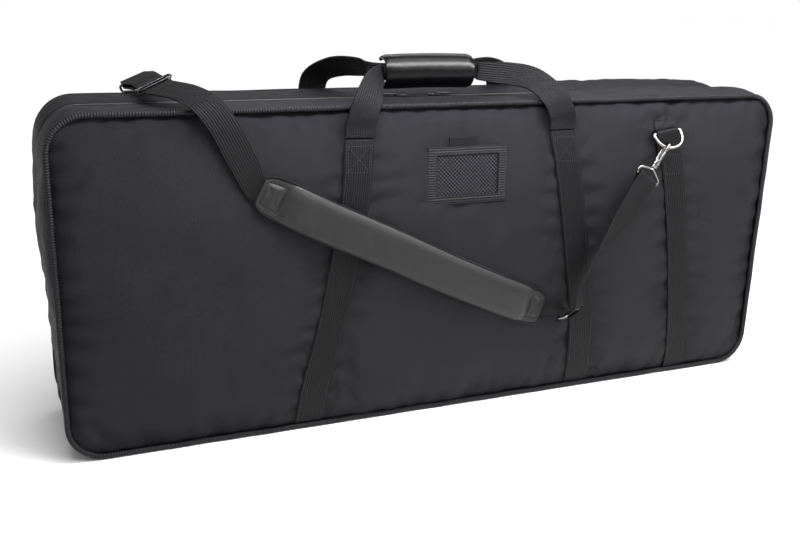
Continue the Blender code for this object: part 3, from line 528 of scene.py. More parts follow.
# pressed fibre board
fibreBoard = mouldedMaterial("fibreBoard", {
    "dark": "#17171a", "light": "#2b2b2e", "roughness": 0.7, "grain": 0.0025, "strength": 0.3})
print("materials made")

view = {
    "place": (-0.5535, -1.1969, 0.5769), "right": (0.92338, -0.38305, 0.02544), "up": (0.08929, 0.27874, 0.95621),
    "ahead": (0.37337, 0.88067, -0.29159), "sensor": 36, "lens": 43.794,
    "sky": 0.37, "sunPower": 2.45, "sunTurn": (24, 14, 0), "sunSpread": 50, "floorSize": 24,
    "lamps": (  # name, place, aimed at, width, depth, power
        ("backSoftbox", (0.35, 0.85, 1.35), (0.10, 0.0, 0.40), 1.4, 0.5, 5),
        ("overheadStrip", (0.16, -0.24, 0.66), (0.16, -0.09, 0.36), 1.15, 0.08, 9),
        ("rightSoftbox", (1.45, -1.45, 1.20), (0.30, -0.09, 0.40), 1.5, 0.8, 17),
    ),
}
bpy.ops.object.camera_add(location=view["place"])
camera = bpy.context.object
camera.name = "viewCamera"
right, up, ahead = (Vector(view[key]).normalized() for key in ("right", "up", "ahead"))
camera.rotation_euler = Matrix((
    (right.x, up.x, -ahead.x), (right.y, up.y, -ahead.y), (right.z, up.z, -ahead.z))).to_euler()
camera.data.sensor_width = view["sensor"]
camera.data.lens = view["lens"]
camera.data.clip_end = 60
bpy.context.scene.camera = camera

world = bpy.data.worlds.new("paleRoom")
world.use_nodes = True
skyTree = world.node_tree
skyTree.nodes["Background"].inputs["Color"].default_value = (1, 1, 1, 1)
# the backdrop is pure white, while the room lights the case more gently
lightPath = addNode(skyTree, "LightPath", {})
skyPower = addNode(skyTree, "MapRange", {"To Min": view["sky"], "To Max": 1.0},
                   {"Value": lightPath.outputs["Is Camera Ray"]})
skyTree.links.new(skyPower.outputs[0], skyTree.nodes["Background"].inputs["Strength"])
bpy.context.scene.world = world
bpy.context.scene.view_settings.view_transform = "Standard"

bpy.ops.mesh.primitive_plane_add(size=view["floorSize"])
floor = bpy.context.object
floor.name = "paleFloor"
# matt white paper sweep
floorFinish, floorTree, floorShader = startMaterial("palePaper", {"Roughness": 0.8, "Specular IOR Level": 0.1})
floorNoise = addNode(floorTree, "TexNoise", {"Scale": 3.0}).outputs[0]
floorTree.links.new(mixedColours(floorTree, floorNoise, "#fafafa", "#fdfdfd"), floorShader.inputs["Base Color"])
floor.data.materials.append(floorFinish)

bpy.ops.object.light_add(type="SUN", location=(0, 0, 4), rotation=[math.radians(turn) for turn in view["sunTurn"]])
sun = bpy.context.object
sun.name = "ceilingLight"
sun.data.energy = view["sunPower"]
sun.data.angle = math.radians(view["sunSpread"])
for lampName, place, target, width, depth, power in view["lamps"]:
    bpy.ops.object.light_add(type="AREA", location=place)
    lamp = bpy.context.object
    lamp.name = lampName
    lamp.data.shape = "RECTANGLE"
    lamp.data.size, lamp.data.size_y = width, depth
    lamp.data.energy = power
    lamp.visible_camera = False
    lamp.rotation_euler = (Vector(target) - Vector(place)).to_track_quat("-Z", "Y").to_euler()
print("camera and light set")

panel = {
    "cellsX": 200, "cellsZ": 84, "thickness": 0.0016, "puff": 0.0019, "roll": 0.0036, "rollWidth": 0.013,
    "strapDent": 0.0014, "pucker": 0.0011, "wander": 0.0022, "ringFold": 0.0024, "coverOff": 0.0012,
    "simFrames": 16, "pressure": 1.2, "growth": 0.012, "simCap": 0.0026,
    "liningInset": 0.008, "liningCorner": 0.040, "liningY": 0.0768, "liningPuff": 0.0012, "liningThickness": 0.0012,
}


def anchorLine(side):
    return strapLines["frontAnchor" if side < 0 else "rearAnchor"]


def strapsOn(side):
    # each sewn strap's line and half its width
    return ((strapLines["handleLeft"], 0.019), (strapLines["handleRight"], 0.019), (anchorLine(side), 0.017))


def seamGap(x, z):
    return min(case["seamX"] - abs(x), z - case["seamLow"], case["seamHigh"] - z)


def rimRoll(gap):
    # the cloth rolls down into its seam
    return -panel["roll"] * math.exp(-max(gap, 0) / panel["rollWidth"] * 1.5)


strapTop = case["hingeZ"] + 0.002


def clothLift(side, x, z):
    # how far the padded cloth stands off the plain crown: puffed between seams, pinched along them
    near = seamGap(x, z)
    lift = rimRoll(near)
    under = False
    for line, half in strapsOn(side):
        gap = abs(x - tableValue(line, min(z, case["hingeZ"]))) - half
        if z > strapTop:
            gap = max(gap, z - strapTop)
        under = under or gap < 0
        near = min(near, abs(gap))
    if under:
        return lift - 0.0004
    lift += panel["puff"] * (1 - math.exp(-near / 0.030))
    lift -= panel["strapDent"] * math.exp(-near / 0.006)
    beat = math.sin(z * 210 + 3 * ripple(x, z, side, 0.09)) + 0.6 * math.sin(x * 190 + 4 * ripple(z, x, side, 0.07))
    lift += panel["pucker"] * beat * math.exp(-near / 0.020)
    lift += panel["wander"] * (ripple(x, z * 1.3, side * 0.4, 0.11) + 0.5 * ripple(x * 1.2, z, 2 + side, 0.045))
    ring = hookFrames[side]["ring"]
    away = Vector((x - ring[0], z - ring[2]))
    if 0.001 < away.length < 0.25:
        turn = math.atan2(away.y, away.x)
        rays = math.cos(6 * turn + 1.1 + away.length * 9)
        lift += panel["ringFold"] * rays * math.exp(-away.length / 0.06)
    return lift


def roundCorner(u, v, inset, radius):
    # a place in a rectangle whose square corners are pressed to round ones, and how far it is inside the corner's arc
    farX, farZ = case["length"] / 2 - inset - radius, case["height"] / 2 - inset - radius
    x, z = (2 * u - 1) * (farX + radius), (2 * v - 1) * (farZ + radius)
    a, b = (abs(x) - farX) / radius, (abs(z) - farZ) / radius
    if a <= 0 or b <= 0:
        return x, z, None
    x = math.copysign(farX + radius * a * math.sqrt(1 - b * b / 2), x)
    z = math.copysign(farZ + radius * b * math.sqrt(1 - a * a / 2), z)
    return x, z, max(radius - math.hypot(abs(x) - farX, abs(z) - farZ), 0)


def panelPlacer(side):
    def placer(u, v):
        x, z, gap = roundCorner(u, v, case["rimInset"], case["corner"] - case["rimInset"])
        x, z = -side * x, z + case["height"] / 2
        lift = clothLift(side, x, z)
        if gap is not None and gap < 0.03:
            lift = min(lift, rimRoll(gap) + 0.0005)
        return panelSpot(side, x, z, panel["coverOff"] + lift), (x, z)

    return placer


panelTrees = {}


def settleCloth(piece, held, look):
    # a short cloth simulation: the held points stay sewn down while the rest swells and buckles, within a cap
    start = [corner.co.copy() for corner in piece.data.vertices]
    pins = piece.vertex_groups.new(name="sewnDown")
    for corner in piece.data.vertices:
        pins.add([corner.index], held(corner.co), "REPLACE")
    cloth = piece.modifiers.new("Cloth", "CLOTH")
    cloth.settings.vertex_group_mass = "sewnDown"
    cloth.settings.effector_weights.gravity = 0
    cloth.settings.quality = 6
    cloth.settings.mass = 0.3
    cloth.settings.tension_stiffness = cloth.settings.compression_stiffness = 12
    cloth.settings.shear_stiffness = 6
    cloth.settings.bending_stiffness = 0.6
    cloth.settings.air_damping = 3
    cloth.settings.shrink_min = -look["growth"]
    cloth.settings.use_pressure = True
    cloth.settings.uniform_pressure_force = look["pressure"]
    cloth.collision_settings.use_collision = False
    cloth.point_cache.frame_start, cloth.point_cache.frame_end = 1, look["simFrames"]
    for step in range(1, look["simFrames"] + 1):
        bpy.context.scene.frame_set(step)
    pickOnly(piece)
    bpy.ops.object.modifier_apply(modifier=cloth.name)
    bpy.context.scene.frame_set(1)
    for corner, spot in zip(piece.data.vertices, start):
        move = corner.co - spot
        if not move.length < 1:
            move = Vector((0, 0, 0))
        if move.length > 0:
            corner.co = spot + move * (look["simCap"] * math.tanh(move.length / look["simCap"]) / move.length)
    piece.vertex_groups.clear()
    return piece


def panelHold(side):
    def held(spot):
        if seamGap(spot.x, spot.z) < 0.004:
            return 1.0
        for line, half in strapsOn(side):
            gap = abs(spot.x - tableValue(line, min(spot.z, case["hingeZ"]))) - half
            if gap < 0.002 and spot.z < strapTop + 0.002:
                return 1.0
        sewnX, sewnZ = abs(spot.x - pocket["x"]), abs(spot.z - pocket["z"])
        return 1.0 if side < 0 and sewnX < 0.054 and sewnZ < 0.034 else 0.0

    return held


def makePanel(side):
    where, body = bodySide(side)
    piece = gridPiece(where + "PanelCover", panel["cellsX"], panel["cellsZ"], panelPlacer(side))
    settleCloth(piece, panelHold(side), panel)
    panelTrees[side] = BVHTree.FromObject(piece, bpy.context.evaluated_depsgraph_get())
    thicken(piece, panel["thickness"])
    finishPiece(piece, polyester, body, [where + "_panel_cover", where + "_panel_foam"])
    def placer(u, v):  # the lining puffs inwards from its rim
        x, z, _ = roundCorner(u, v, panel["liningInset"], panel["liningCorner"])
        edge = min(1 - abs(2 * u - 1), 1 - abs(2 * v - 1))
        puff = panel["liningPuff"] * (1 - math.exp(-edge * 30)) + 0.0006 * ripple(x, z, 3 + side, 0.07)
        return Vector((-side * x, side * (panel["liningY"] - puff), z + case["height"] / 2)), (x, z)

    inside = gridPiece(where + "PanelLining", 120, 50, placer)
    editAll(inside, turnOver)
    thicken(inside, panel["liningThickness"])
    finishPiece(inside, lining, body, [where + "_panel_lining"])


for side in (-1, 1):
    makePanel(side)


def onPanel(side, x, z, off):
    # a point this far off the finished cloth
    hit = panelTrees[side].ray_cast(Vector((x, side * 0.3, z)), Vector((0, -side, 0)))[0]
    return Vector((x, (hit.y if hit else side * 0.0862) + side * off, z))


print("panels made")

gusset = {
    "puff": 0.0035, "topPuff": 0.0075, "leftPuff": 0.0080, "wrinkle": 0.0024, "cellsAcross": 16, "cellsAlong": 240,
    "edgeY": 0.0832, "zipY": 0.0133, "thickness": 0.0022, "parting": 0.0008,
}
piping = {"radius": 0.0034, "cells": 420, "waver": 0.0005}
zipper = {
    "pitch": 0.0026, "toothLength": 0.0040, "toothRadius": 0.00075, "toothY": 0.0019, "outerY": 0.0140,
    "innerY": 0.0013, "foldY": 0.0118, "thickness": 0.0012,
}


def bandEnds(upper):
    # where the upper or the lower band starts and ends along the outline
    legs = rimLegs(case["gussetInset"])
    rise = case["zipEnd"] - case["corner"] - (0.0 if upper else gusset["parting"])
    low = legs[0][0] + legs[1][0] + rise
    if upper:
        return low, sum(leg[0] for leg in legs[:6]) + legs[6][0] - rise
    return -(legs[7][0] + rise), low


def gussetPuff(spot, out):
    top = max(out.z, 0) * gusset["topPuff"] * math.exp(-((spot.x - 0.31) / 0.16) ** 2)
    left = max(-out.x, 0) * gusset["leftPuff"] * math.exp(-((spot.z - 0.28) / 0.09) ** 2)
    return gusset["puff"] + top + left


def makeBand(name, span, fromY, toY, cells, bulge):
    start, end = span

    def placer(u, v):
        spot, out = rimSpot(case["gussetInset"], start + (end - start) * v)
        y = fromY + (toY - fromY) * u
        return spot + Vector((0, y, 0)) + out * bulge(u, v, spot, out, y), (y, (end - start) * v)

    return gridPiece(name, *cells, placer)


def clothBulge(u, v, spot, out, y):
    ends = min(1.0, min(v, 1 - v) * 30)
    shape = math.sin(math.pi * u) ** 0.6
    folds = ripple(spot.x * 2.2, y, spot.z * 2.2, 0.05) + 0.5 * ripple(spot.x, y * 2, spot.z, 0.016)
    return shape * (gussetPuff(spot, out) * (0.3 + 0.7 * ends) + gusset["wrinkle"] * folds)


def tapeRise(u, v, spot, out, y):
    # the cloth's folded edge runs along the tape, which lies a little lower
    fold = 0.0011 * math.exp(-((abs(y) - zipper["foldY"]) / 0.0016) ** 2)
    return fold - (0.0005 if abs(y) < 0.010 else 0.0) + 0.0002 * ripple(spot.x, y, spot.z, 0.02)


def makePiping(side):
    where, body = bodySide(side)
    total = sum(leg[0] for leg in rimLegs(case["pipingInset"]))
    line = []
    for index in range(piping["cells"]):
        spot, out = rimSpot(case["pipingInset"], total * index / piping["cells"])
        waver = piping["waver"] * ripple(spot.x, side, spot.z, 0.04)
        line.append(spot + Vector((0, side * (case["depth"] / 2 + waver), 0)) + out * waver)
    pipe = tubePiece(where + "Piping", line, piping["radius"], sides=10, closed=True)
    finishPiece(pipe, pipingTape, body, [where + "_piping"])


def makeUpperBand(side):
    where, body = bodySide(side)
    low, high = sorted((side * gusset["zipY"], side * gusset["edgeY"]))
    wall = makeBand(where + "Gusset", bandEnds(True), low, high, (gusset["cellsAcross"], gusset["cellsAlong"]),
                    clothBulge)
    thicken(wall, gusset["thickness"])
    finishPiece(wall, polyester, body, [where + "_gusset"])
    low, high = sorted((side * zipper["innerY"], side * zipper["outerY"]))
    tape = makeBand(where + "ZipTape", bandEnds(True), low, high, (10, 260), tapeRise)
    thicken(tape, zipper["thickness"])
    finishPiece(tape, zipTape, body, [where + "_zip_tape"])


def makeCoil(side):
    # one coil turn, repeated along the tape
    where, body = bodySide(side)
    bpy.ops.object.select_all(action="DESELECT")
    bpy.ops.mesh.primitive_cylinder_add(vertices=6, radius=zipper["toothRadius"], depth=zipper["toothLength"])
    tooth = bpy.context.object
    editAll(tooth, lambda: bpy.ops.mesh.bevel(offset=0.0002, segments=1))
    start, end = bandEnds(True)
    placements = []
    for index in range(int((end - start) / zipper["pitch"])):
        shift = zipper["pitch"] * (index + (0.5 if side > 0 else 0.0))
        spot, out = rimSpot(case["gussetInset"], start + min(shift, end - start))
        middle = spot + Vector((0, side * zipper["toothY"], 0)) + out * 0.0001
        placements.append(facing(middle, out, out.cross(Vector((0, 1, 0)))))
    teeth = copyAlong(where + "ZipCoil", tooth, placements)
    bpy.data.objects.remove(tooth, do_unlink=True)
    finishPiece(teeth, coil, body)


for side in (-1, 1):
    makePiping(side)
    makeUpperBand(side)
    makeCoil(side)

# the lower band: its floor stays with the shell, and its two ends stand fixed in place, attached to neither half
legs = rimLegs(case["gussetInset"])
cornerArc = legs[1][0]
start, end = bandEnds(False)
floorSpan = (-cornerArc * 0.55, legs[0][0] + cornerArc * 0.55)


def floorBulge(u, v, spot, out, y):
    wave = (1 + ripple(spot.x, y, 1.0, 0.06)) * (1 if out.z < -0.99 else 0.3)
    return 0.0007 * math.sin(math.pi * u) ** 0.5 * wave


def cornerBulge(u, v, spot, out, y):
    return 0.0012 * math.sin(math.pi * u) ** 0.5


bottomCloth = makeBand("bottomGusset", floorSpan, -gusset["edgeY"], gusset["edgeY"], (24, 170), floorBulge)
thicken(bottomCloth, gusset["thickness"])
finishPiece(bottomCloth, polyester, "rear_shell", ["bottom_gusset"])
for name, span, x in (("leftCornerGusset", (start, floorSpan[0]), -0.5045),
                      ("rightCornerGusset", (floorSpan[1], end), 0.5045)):
    corner = makeBand(name, span, -gusset["edgeY"], gusset["edgeY"], (24, 22), cornerBulge)
    thicken(corner, gusset["thickness"])
    finishPiece(corner, polyester, None)
    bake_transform(corner)
print("piping, gussets and zip made")

strap = {
    "handleWidth": 0.038, "anchorWidth": 0.034, "thickness": 0.0019, "lift": 0.0013, "rows": 90, "footZ": 0.0085,
    "seamFootZ": 0.012, "stitchEvery": 0.0040, "stitchLength": 0.0027, "stitchRadius": 0.00032,
    "stitchInset": 0.0028, "stitchLift": 0.0024, "ringLean": math.radians(8.5),
}


def stitchModel():
    bpy.ops.object.select_all(action="DESELECT")
    bpy.ops.mesh.primitive_uv_sphere_add(segments=6, ring_count=4, radius=1)
    bead = bpy.context.object
    size = (strap["stitchLength"] / 2, strap["stitchRadius"] * 1.4, strap["stitchRadius"])
    bead.data.transform(Matrix.Diagonal((*size, 1)))
    return bead


bead = stitchModel()


def stitchRun(name, lines, body, every=None):
    # evenly spaced stitches along lines of (point, outward direction)
    every = every or strap["stitchEvery"]
    placements = []
    for line in lines:
        left = every / 2
        for (spot, out), (after, _) in zip(line, line[1:]):
            leg = after - spot
            length = leg.length
            while length > 1e-6 and left < length:
                placements.append(facing(spot + leg * (left / length), leg, out))
                left += every
            left -= length
    run = copyAlong(name, bead, placements)
    return finishPiece(run, thread, body)


def evenly(low, high, steps):
    return [low + (high - low) * step / steps for step in range(steps + 1)]


def along2d(corners, steps, spot):
    # spot(a, b) at even steps along each leg of a flat line
    run = []
    for (a, b), (c, d) in zip(corners, corners[1:]):
        run += [spot(a + (c - a) * k / steps, b + (d - b) * k / steps) for k in range(steps)]
    return run


def crossedBox(low, high):
    # the path of a sewn box with a cross in it
    return [(-1, low), (1, low), (1, high), (-1, high), (-1, low), (1, high), (-1, high), (1, low)]


def strapRows(side, line, width, low, high):
    return [(onPanel(side, tableValue(line, z), z, strap["lift"]), (-side, 0, 0), width)
            for z in evenly(low, high, strap["rows"])]


def strapStitch(side, line, z, shift):
    return onPanel(side, tableValue(line, z) + shift, z, strap["stitchLift"]), Vector((0, side, 0))


def strapEdges(side, line, width, low, high):
    edge = width / 2 - strap["stitchInset"]
    return [[strapStitch(side, line, z, hand * edge) for z in evenly(low, high, 60)] for hand in (-1, 1)]


def boxStitch(side, line, low, high, half):
    run = along2d(crossedBox(low, high), 8, lambda share, z: strapStitch(side, line, z, share * half))
    return run + [strapStitch(side, line, low, half)]


hook = {
    "bow": 0.0023, "gate": 0.0019, "eye": 0.00175, "ringWire": 0.0022, "ringHalf": 0.0215, "ringReach": 0.0245,
    "bend": 0.0084, "bendFrom": 0.0085,
    # along the shank and to its side
    "bowTail": ((0.0330, -0.0030), (0.0305, -0.0058), (0.0275, -0.0078), (0.024, -0.0084), (0.018, -0.0084),
                (0.013, -0.0084)),
    "bowNose": ((0.0105, 0.0084), (0.0135, 0.0083)),
    # along the shank and the radius there: a turned collar, waist and swivel head
    "barrel": ((0.0275, 0.0010), (0.0278, 0.0042), (0.0300, 0.0052), (0.0330, 0.0054), (0.0345, 0.0050),
               (0.0352, 0.0040), (0.0362, 0.0040), (0.0370, 0.0047), (0.0390, 0.0049), (0.0400, 0.0040),
               (0.0405, 0.0022)),
    "post": ((0.0400, 0.0020), (0.0408, 0.0026), (0.0425, 0.0034), (0.0440, 0.0032), (0.0446, 0.0020)),
    "gateLine": ((0.0325, 0.0068), (0.0300, 0.0078), (0.0260, 0.0083), (0.0200, 0.0085), (0.0165, 0.0085),
                 (0.0150, 0.0085)),
    "eyeSide": ((0.0425, 0.0035), (0.0485, 0.0178), (0.0502, 0.0196), (0.0525, 0.0202), (0.0560, 0.0200),
                (0.0574, 0.0188), (0.0576, 0.0170)),
}


def makeSewnStraps(side):
    where, body = bodySide(side)
    for hand, key in (("left", "handleLeft"), ("right", "handleRight")):
        line = strapLines[key]
        node = f"{where}_handle_strap_{hand}"
        rows = strapRows(side, line, strap["handleWidth"], strap["footZ"], case["hingeZ"] - 0.0015)
        piece = webbingPiece(f"{where}HandleStrap{hand.title()}", rows, strap["thickness"], curl=-0.0005)
        finishPiece(piece, webbing, body, [node])
        lines = strapEdges(side, line, strap["handleWidth"], strap["seamFootZ"], 0.372)
        lines.append(boxStitch(side, line, 0.338, 0.370, 0.0145))
        stitchRun(f"{where}HandleStitches{hand.title()}", lines, body)


patchShape = {"radius": 0.0178, "base": 0.0050, "dome": 0.0018, "thickness": 0.0012}


def makeAnchor(side):
    where, body = bodySide(side)
    centre, lean = Vector(hookFrames[side]["ring"]), side * strap["ringLean"]
    along = Vector((math.cos(lean), 0, -math.sin(lean)))
    upward = Vector((math.sin(lean), 0, math.cos(lean)))
    out = Vector((0, side, 0))
    line, width = anchorLine(side), strap["anchorWidth"]
    wrap = 0.0036
    fold = [(-0.022, -wrap), (-0.014, -wrap), (-0.006, -wrap), (0.0, -wrap)]
    fold += [(wrap * math.sin(math.radians(t)), -wrap * math.cos(math.radians(t))) for t in range(20, 181, 20)]
    fold += [(-0.006, 0.0030), (-0.0125, 0.0010), (-0.019, 0.0004)]
    rows = [(centre + upward * high + out * off, along, width) for high, off in fold]
    top = (centre - upward * 0.026).z
    for step, z in enumerate(evenly(top, strap["footZ"], strap["rows"])):
        turn = along.lerp(Vector((1, 0, 0)), min(1.0, step / 12)).normalized()
        rows.append((onPanel(side, tableValue(line, z), z, strap["lift"]), turn, width))
    piece = webbingPiece(where + "AnchorStrap", rows, strap["thickness"], level=False)
    finishPiece(piece, webbing, body, [where + "_anchor_strap"])
    lines = strapEdges(side, line, width, strap["seamFootZ"], top - 0.004)
    lines.append(boxStitch(side, line, top - 0.034, top - 0.006, 0.0125))
    stitchRun(where + "AnchorStitches", lines, body)

    def fanSpot(angle, share, rise):
        reach = patchShape["radius"] * share
        spot = centre + along * reach * math.cos(angle) + upward * (patchShape["base"] + reach * math.sin(angle))
        return onPanel(side, spot.x, spot.z, rise)

    def placer(u, v):
        spot = fanSpot(math.pi * u, v, 0.0006 + patchShape["dome"] * (1 - v ** 3))
        return spot, (spot.x, spot.z)

    patch = gridPiece(where + "AnchorPatch", 28, 10, placer)
    editAll(patch, weld)
    if side < 0:
        editAll(patch, turnOver)
    thicken(patch, patchShape["thickness"], 1)
    editAll(patch, faceOut)
    finishPiece(patch, polyester, body, [where + "_anchor_patch"])
    arcLine = [(fanSpot(angle, 0.86, 0.0031), out) for angle in evenly(0, math.pi, 30)]
    stitchRun(where + "PatchStitches", [arcLine], body, every=0.0030)


for side in (-1, 1):
    makeSewnStraps(side)
    makeAnchor(side)
print("sewn straps made")


def fitting(side):
    at = {key: Vector(value) for key, value in hookFrames[side].items()}
    at["across"] = (at["flat"] - at["shank"] * at["flat"].dot(at["shank"])).normalized()
    return at


def makeRing(side):
    # the D: a straight bar and a rounded bow, one bent wire
    where, at = bodySide(side)[0], fitting(side)
    line = []
    for angle in evenly(0, math.pi, 47):
        flat = math.copysign(abs(math.cos(angle)) ** 0.85, math.cos(angle))
        line.append(at["ring"] + at["along"] * hook["ringHalf"] * flat
                    + at["reach"] * hook["ringReach"] * abs(math.sin(angle)) ** 0.85)
    line += [at["ring"] + at["along"] * share for share in evenly(-hook["ringHalf"], hook["ringHalf"], 16)[1:-1]]
    ring = tubePiece(where + "DRing", line, hook["ringWire"], sides=14, closed=True)
    finishPiece(ring, nickel, where + "_ring", [where + "_d_ring"])


def makeHook(side):
    where, body = bodySide(side)
    at = fitting(side)

    def spot(s, t, sideways="spread"):
        return at["start"] + at["shank"] * s + at[sideways] * t

    def turned(name, profile, sides):
        return tubePiece(name, [spot(s, 0) for s, _ in profile], [radius for _, radius in profile], sides)

    bow = [spot(s, t) for s, t in hook["bowTail"]]
    bow += [spot(hook["bendFrom"] - hook["bend"] * math.sin(math.radians(turn)),
                 -hook["bend"] * math.cos(math.radians(turn))) for turn in range(0, 181, 12)]
    bow += [spot(s, t) for s, t in hook["bowNose"]]
    swell = [1.15] * 3 + [1.0] * (len(bow) - 6) + [0.95, 0.9, 0.72]
    piece = tubePiece(where + "SnapHook", bow, [hook["bow"] * share for share in swell], sides=14)
    piece = joinPieces(where + "SnapHook", piece, turned(where + "HookBarrel", hook["barrel"], 24))
    finishPiece(piece, nickel, where + "_hook", [where + "_snap_hook"], angle=35)

    sizes = [0.0015, 0.0019, hook["gate"], hook["gate"], hook["gate"], 0.0014]
    gate = tubePiece(where + "HookGate", [spot(s, t) for s, t in hook["gateLine"]], sizes, sides=12)
    finishPiece(gate, nickel, where + "_gate", [where + "_hook_gate"], angle=35)

    near = [(s, t) for s, t in hook["eyeSide"]]
    far = [(s, -t) for s, t in hook["eyeSide"]]
    corners = far[:1] + near + far[:0:-1]
    wire = []
    for (s, t), (s2, t2) in zip(corners, corners[1:] + corners[:1]):
        steps = max(1, round(math.hypot(s2 - s, t2 - t) / 0.003))
        wire += [spot(s + (s2 - s) * k / steps, t + (t2 - t) * k / steps, "across") for k in range(steps)]
    eye = tubePiece(where + "HookEye", wire, hook["eye"], sides=12, closed=True)
    eye = joinPieces(where + "HookEye", eye, turned(where + "EyePost", hook["post"], 16))
    finishPiece(eye, nickel, body, [where + "_hook_eye"], angle=35)


for side in (-1, 1):
    makeRing(side)
    makeHook(side)
print("rings and hooks made")

hy = case["hingeY"]
# each loop's rows: middle of the webbing, the way it faces across, and its width
handle = {
    "thickness": 0.0021, "steps": 7, "curl": 0.0014,
    "front": [
        ((-0.143, -hy, 0.3803), (1, 0, 0), 0.038), ((-0.1425, -hy, 0.392), (1, 0, 0), 0.038),
        ((-0.139, -hy - 0.002, 0.408), (1, 0.02, -0.08), 0.038),
        ((-0.131, -0.090, 0.427), (0.95, 0.10, -0.30), 0.036),
        ((-0.116, -0.068, 0.4440), (0.72, 0.05, -0.62), 0.030), ((-0.098, -0.044, 0.4515), (0.30, 0.0, -0.95), 0.022),
        ((-0.090, -0.0340, 0.4525), (0.0, 0.0, -1), 0.019), ((0.031, -0.0340, 0.4525), (0.0, 0.0, -1), 0.019),
        ((0.044, -0.040, 0.4520), (-0.15, -0.1, -1), 0.023), ((0.076, -0.054, 0.4500), (-0.35, -0.25, -0.90), 0.030),
        ((0.106, -0.071, 0.4440), (-0.75, -0.20, -0.62), 0.034),
        ((0.127, -0.0905, 0.4240), (-0.95, -0.08, -0.30), 0.038),
        ((0.138, -hy - 0.002, 0.405), (-1, 0, -0.08), 0.038), ((0.1425, -hy, 0.392), (-1, 0, 0), 0.038),
        ((0.143, -hy, 0.3803), (-1, 0, 0), 0.038)],
    "rear": [
        ((-0.143, hy, 0.3803), (1, 0, 0), 0.038), ((-0.1435, hy, 0.392), (1, 0, 0), 0.038),
        ((-0.145, hy + 0.004, 0.412), (1, 0, -0.05), 0.038), ((-0.142, 0.082, 0.4380), (0.97, 0.0, -0.25), 0.038),
        ((-0.125, 0.046, 0.4530), (0.80, -0.25, -0.55), 0.034), ((-0.104, 0.010, 0.4550), (0.35, -0.1, -0.93), 0.024),
        ((-0.090, -0.0160, 0.4525), (0.0, 0.0, -1), 0.019), ((0.031, -0.0160, 0.4525), (0.0, 0.0, -1), 0.019),
        ((0.050, 0.000, 0.4535), (-0.25, 0.1, -0.97), 0.024), ((0.090, 0.034, 0.4520), (-0.65, 0.25, -0.72), 0.030),
        ((0.130, 0.074, 0.4380), (-0.95, 0.1, -0.30), 0.038), ((0.145, hy + 0.004, 0.410), (-1, 0, -0.05), 0.038),
        ((0.1435, hy, 0.392), (-1, 0, 0), 0.038), ((0.143, hy, 0.3803), (-1, 0, 0), 0.038)],
}
for where in ("front", "rear"):
    piece = webbingPiece(where + "HandleLoop", smoothRows(handle[where], handle["steps"]), handle["thickness"],
                         level=False, curl=handle["curl"])
    finishPiece(piece, webbing, where + "_handle", [where + "_handle_loop"])

grip = {
    "start": -0.0905, "end": 0.0315, "centreY": -0.030, "centreZ": 0.452, "radiusY": 0.0155, "radiusZ": 0.0175,
    "mouth": math.radians(52), "thickness": 0.0044, "arch": 0.0012, "core": 0.0108, "flapSwell": 0.075,
    "flapThickness": 0.0012, "stitchEvery": 0.0036,
}


def gripPlacer(swell, fromAngle, toAngle, inset):
    # an oval round the webbing, drawn in at both ends; swell is how far it stands off the cover
    def placer(u, v):
        x = grip["start"] + inset + (grip["end"] - grip["start"] - 2 * inset) * v
        angle = toAngle + (fromAngle - toAngle) * u
        ends = math.exp(-min(v, 1 - v) * 26)
        share = 2 * v - 1
        pinch = 1 - 0.10 * ends + 0.03 * math.exp(-((min(v, 1 - v) - 0.05) / 0.02) ** 2)
        folds = 0.0003 * ripple(x, angle * 0.02, 0.5, 0.012) * (0.4 + 1.5 * ends)
        pinch *= 1.0 + swell
        y = (grip["radiusY"] * pinch + folds) * math.cos(angle)
        z = (grip["radiusZ"] * pinch + folds) * math.sin(angle) + grip["arch"] * (1 - share * share)
        return Vector((x, grip["centreY"] + y, grip["centreZ"] + z)), (x, angle * 0.0165)

    return placer


cover = gridPiece("gripCover", 44, 60, gripPlacer(0.0, grip["mouth"], 2 * math.pi - grip["mouth"], 0.0))
thicken(cover, grip["thickness"])
editAll(cover, faceOut)
roundEdges(cover, 0.0011, 3)
finishPiece(cover, gripLeather, "front_handle", ["grip_cover"])
# the padding and gathered webbing inside the wrap, which show at its two ends
coreLine, coreSizes = [], []
for share in evenly(0, 1, 48):
    x = grip["start"] - 0.0010 + (grip["end"] - grip["start"] + 0.0020) * share
    coreLine.append((x, grip["centreY"] - 0.0008, grip["centreZ"] + grip["arch"] * (1 - (2 * share - 1) ** 2)))
    pinch = 1 - 0.05 * math.exp(-min(share, 1 - share) * 60)
    coreSizes.append(grip["core"] * pinch + 0.0002 * ripple(x, 0, 0, 0.006))
core = tubePiece("gripPadding", coreLine, coreSizes, sides=24)
finishPiece(core, webbing, "front_handle", ["grip_padding"])
flap = gridPiece("gripFlap", 16, 60, gripPlacer(grip["flapSwell"], math.radians(58), math.radians(118), 0.004))
thicken(flap, grip["flapThickness"])
editAll(flap, faceOut)
roundEdges(flap, 0.0004)
finishPiece(flap, gripLeather, "front_handle")
seam = []
for turn, inset, swell in ((222, 0.006, 0.012), (114, 0.008, 0.085)):
    angle = math.radians(turn)
    out, placer = Vector((0, math.cos(angle), math.sin(angle))), gripPlacer(swell, angle, angle, inset)
    seam.append([(placer(0.5, share)[0], out) for share in evenly(0, 1, 40)])
stitchRun("gripStitches", seam, "front_handle", every=grip["stitchEvery"])
print("handles and grip made")

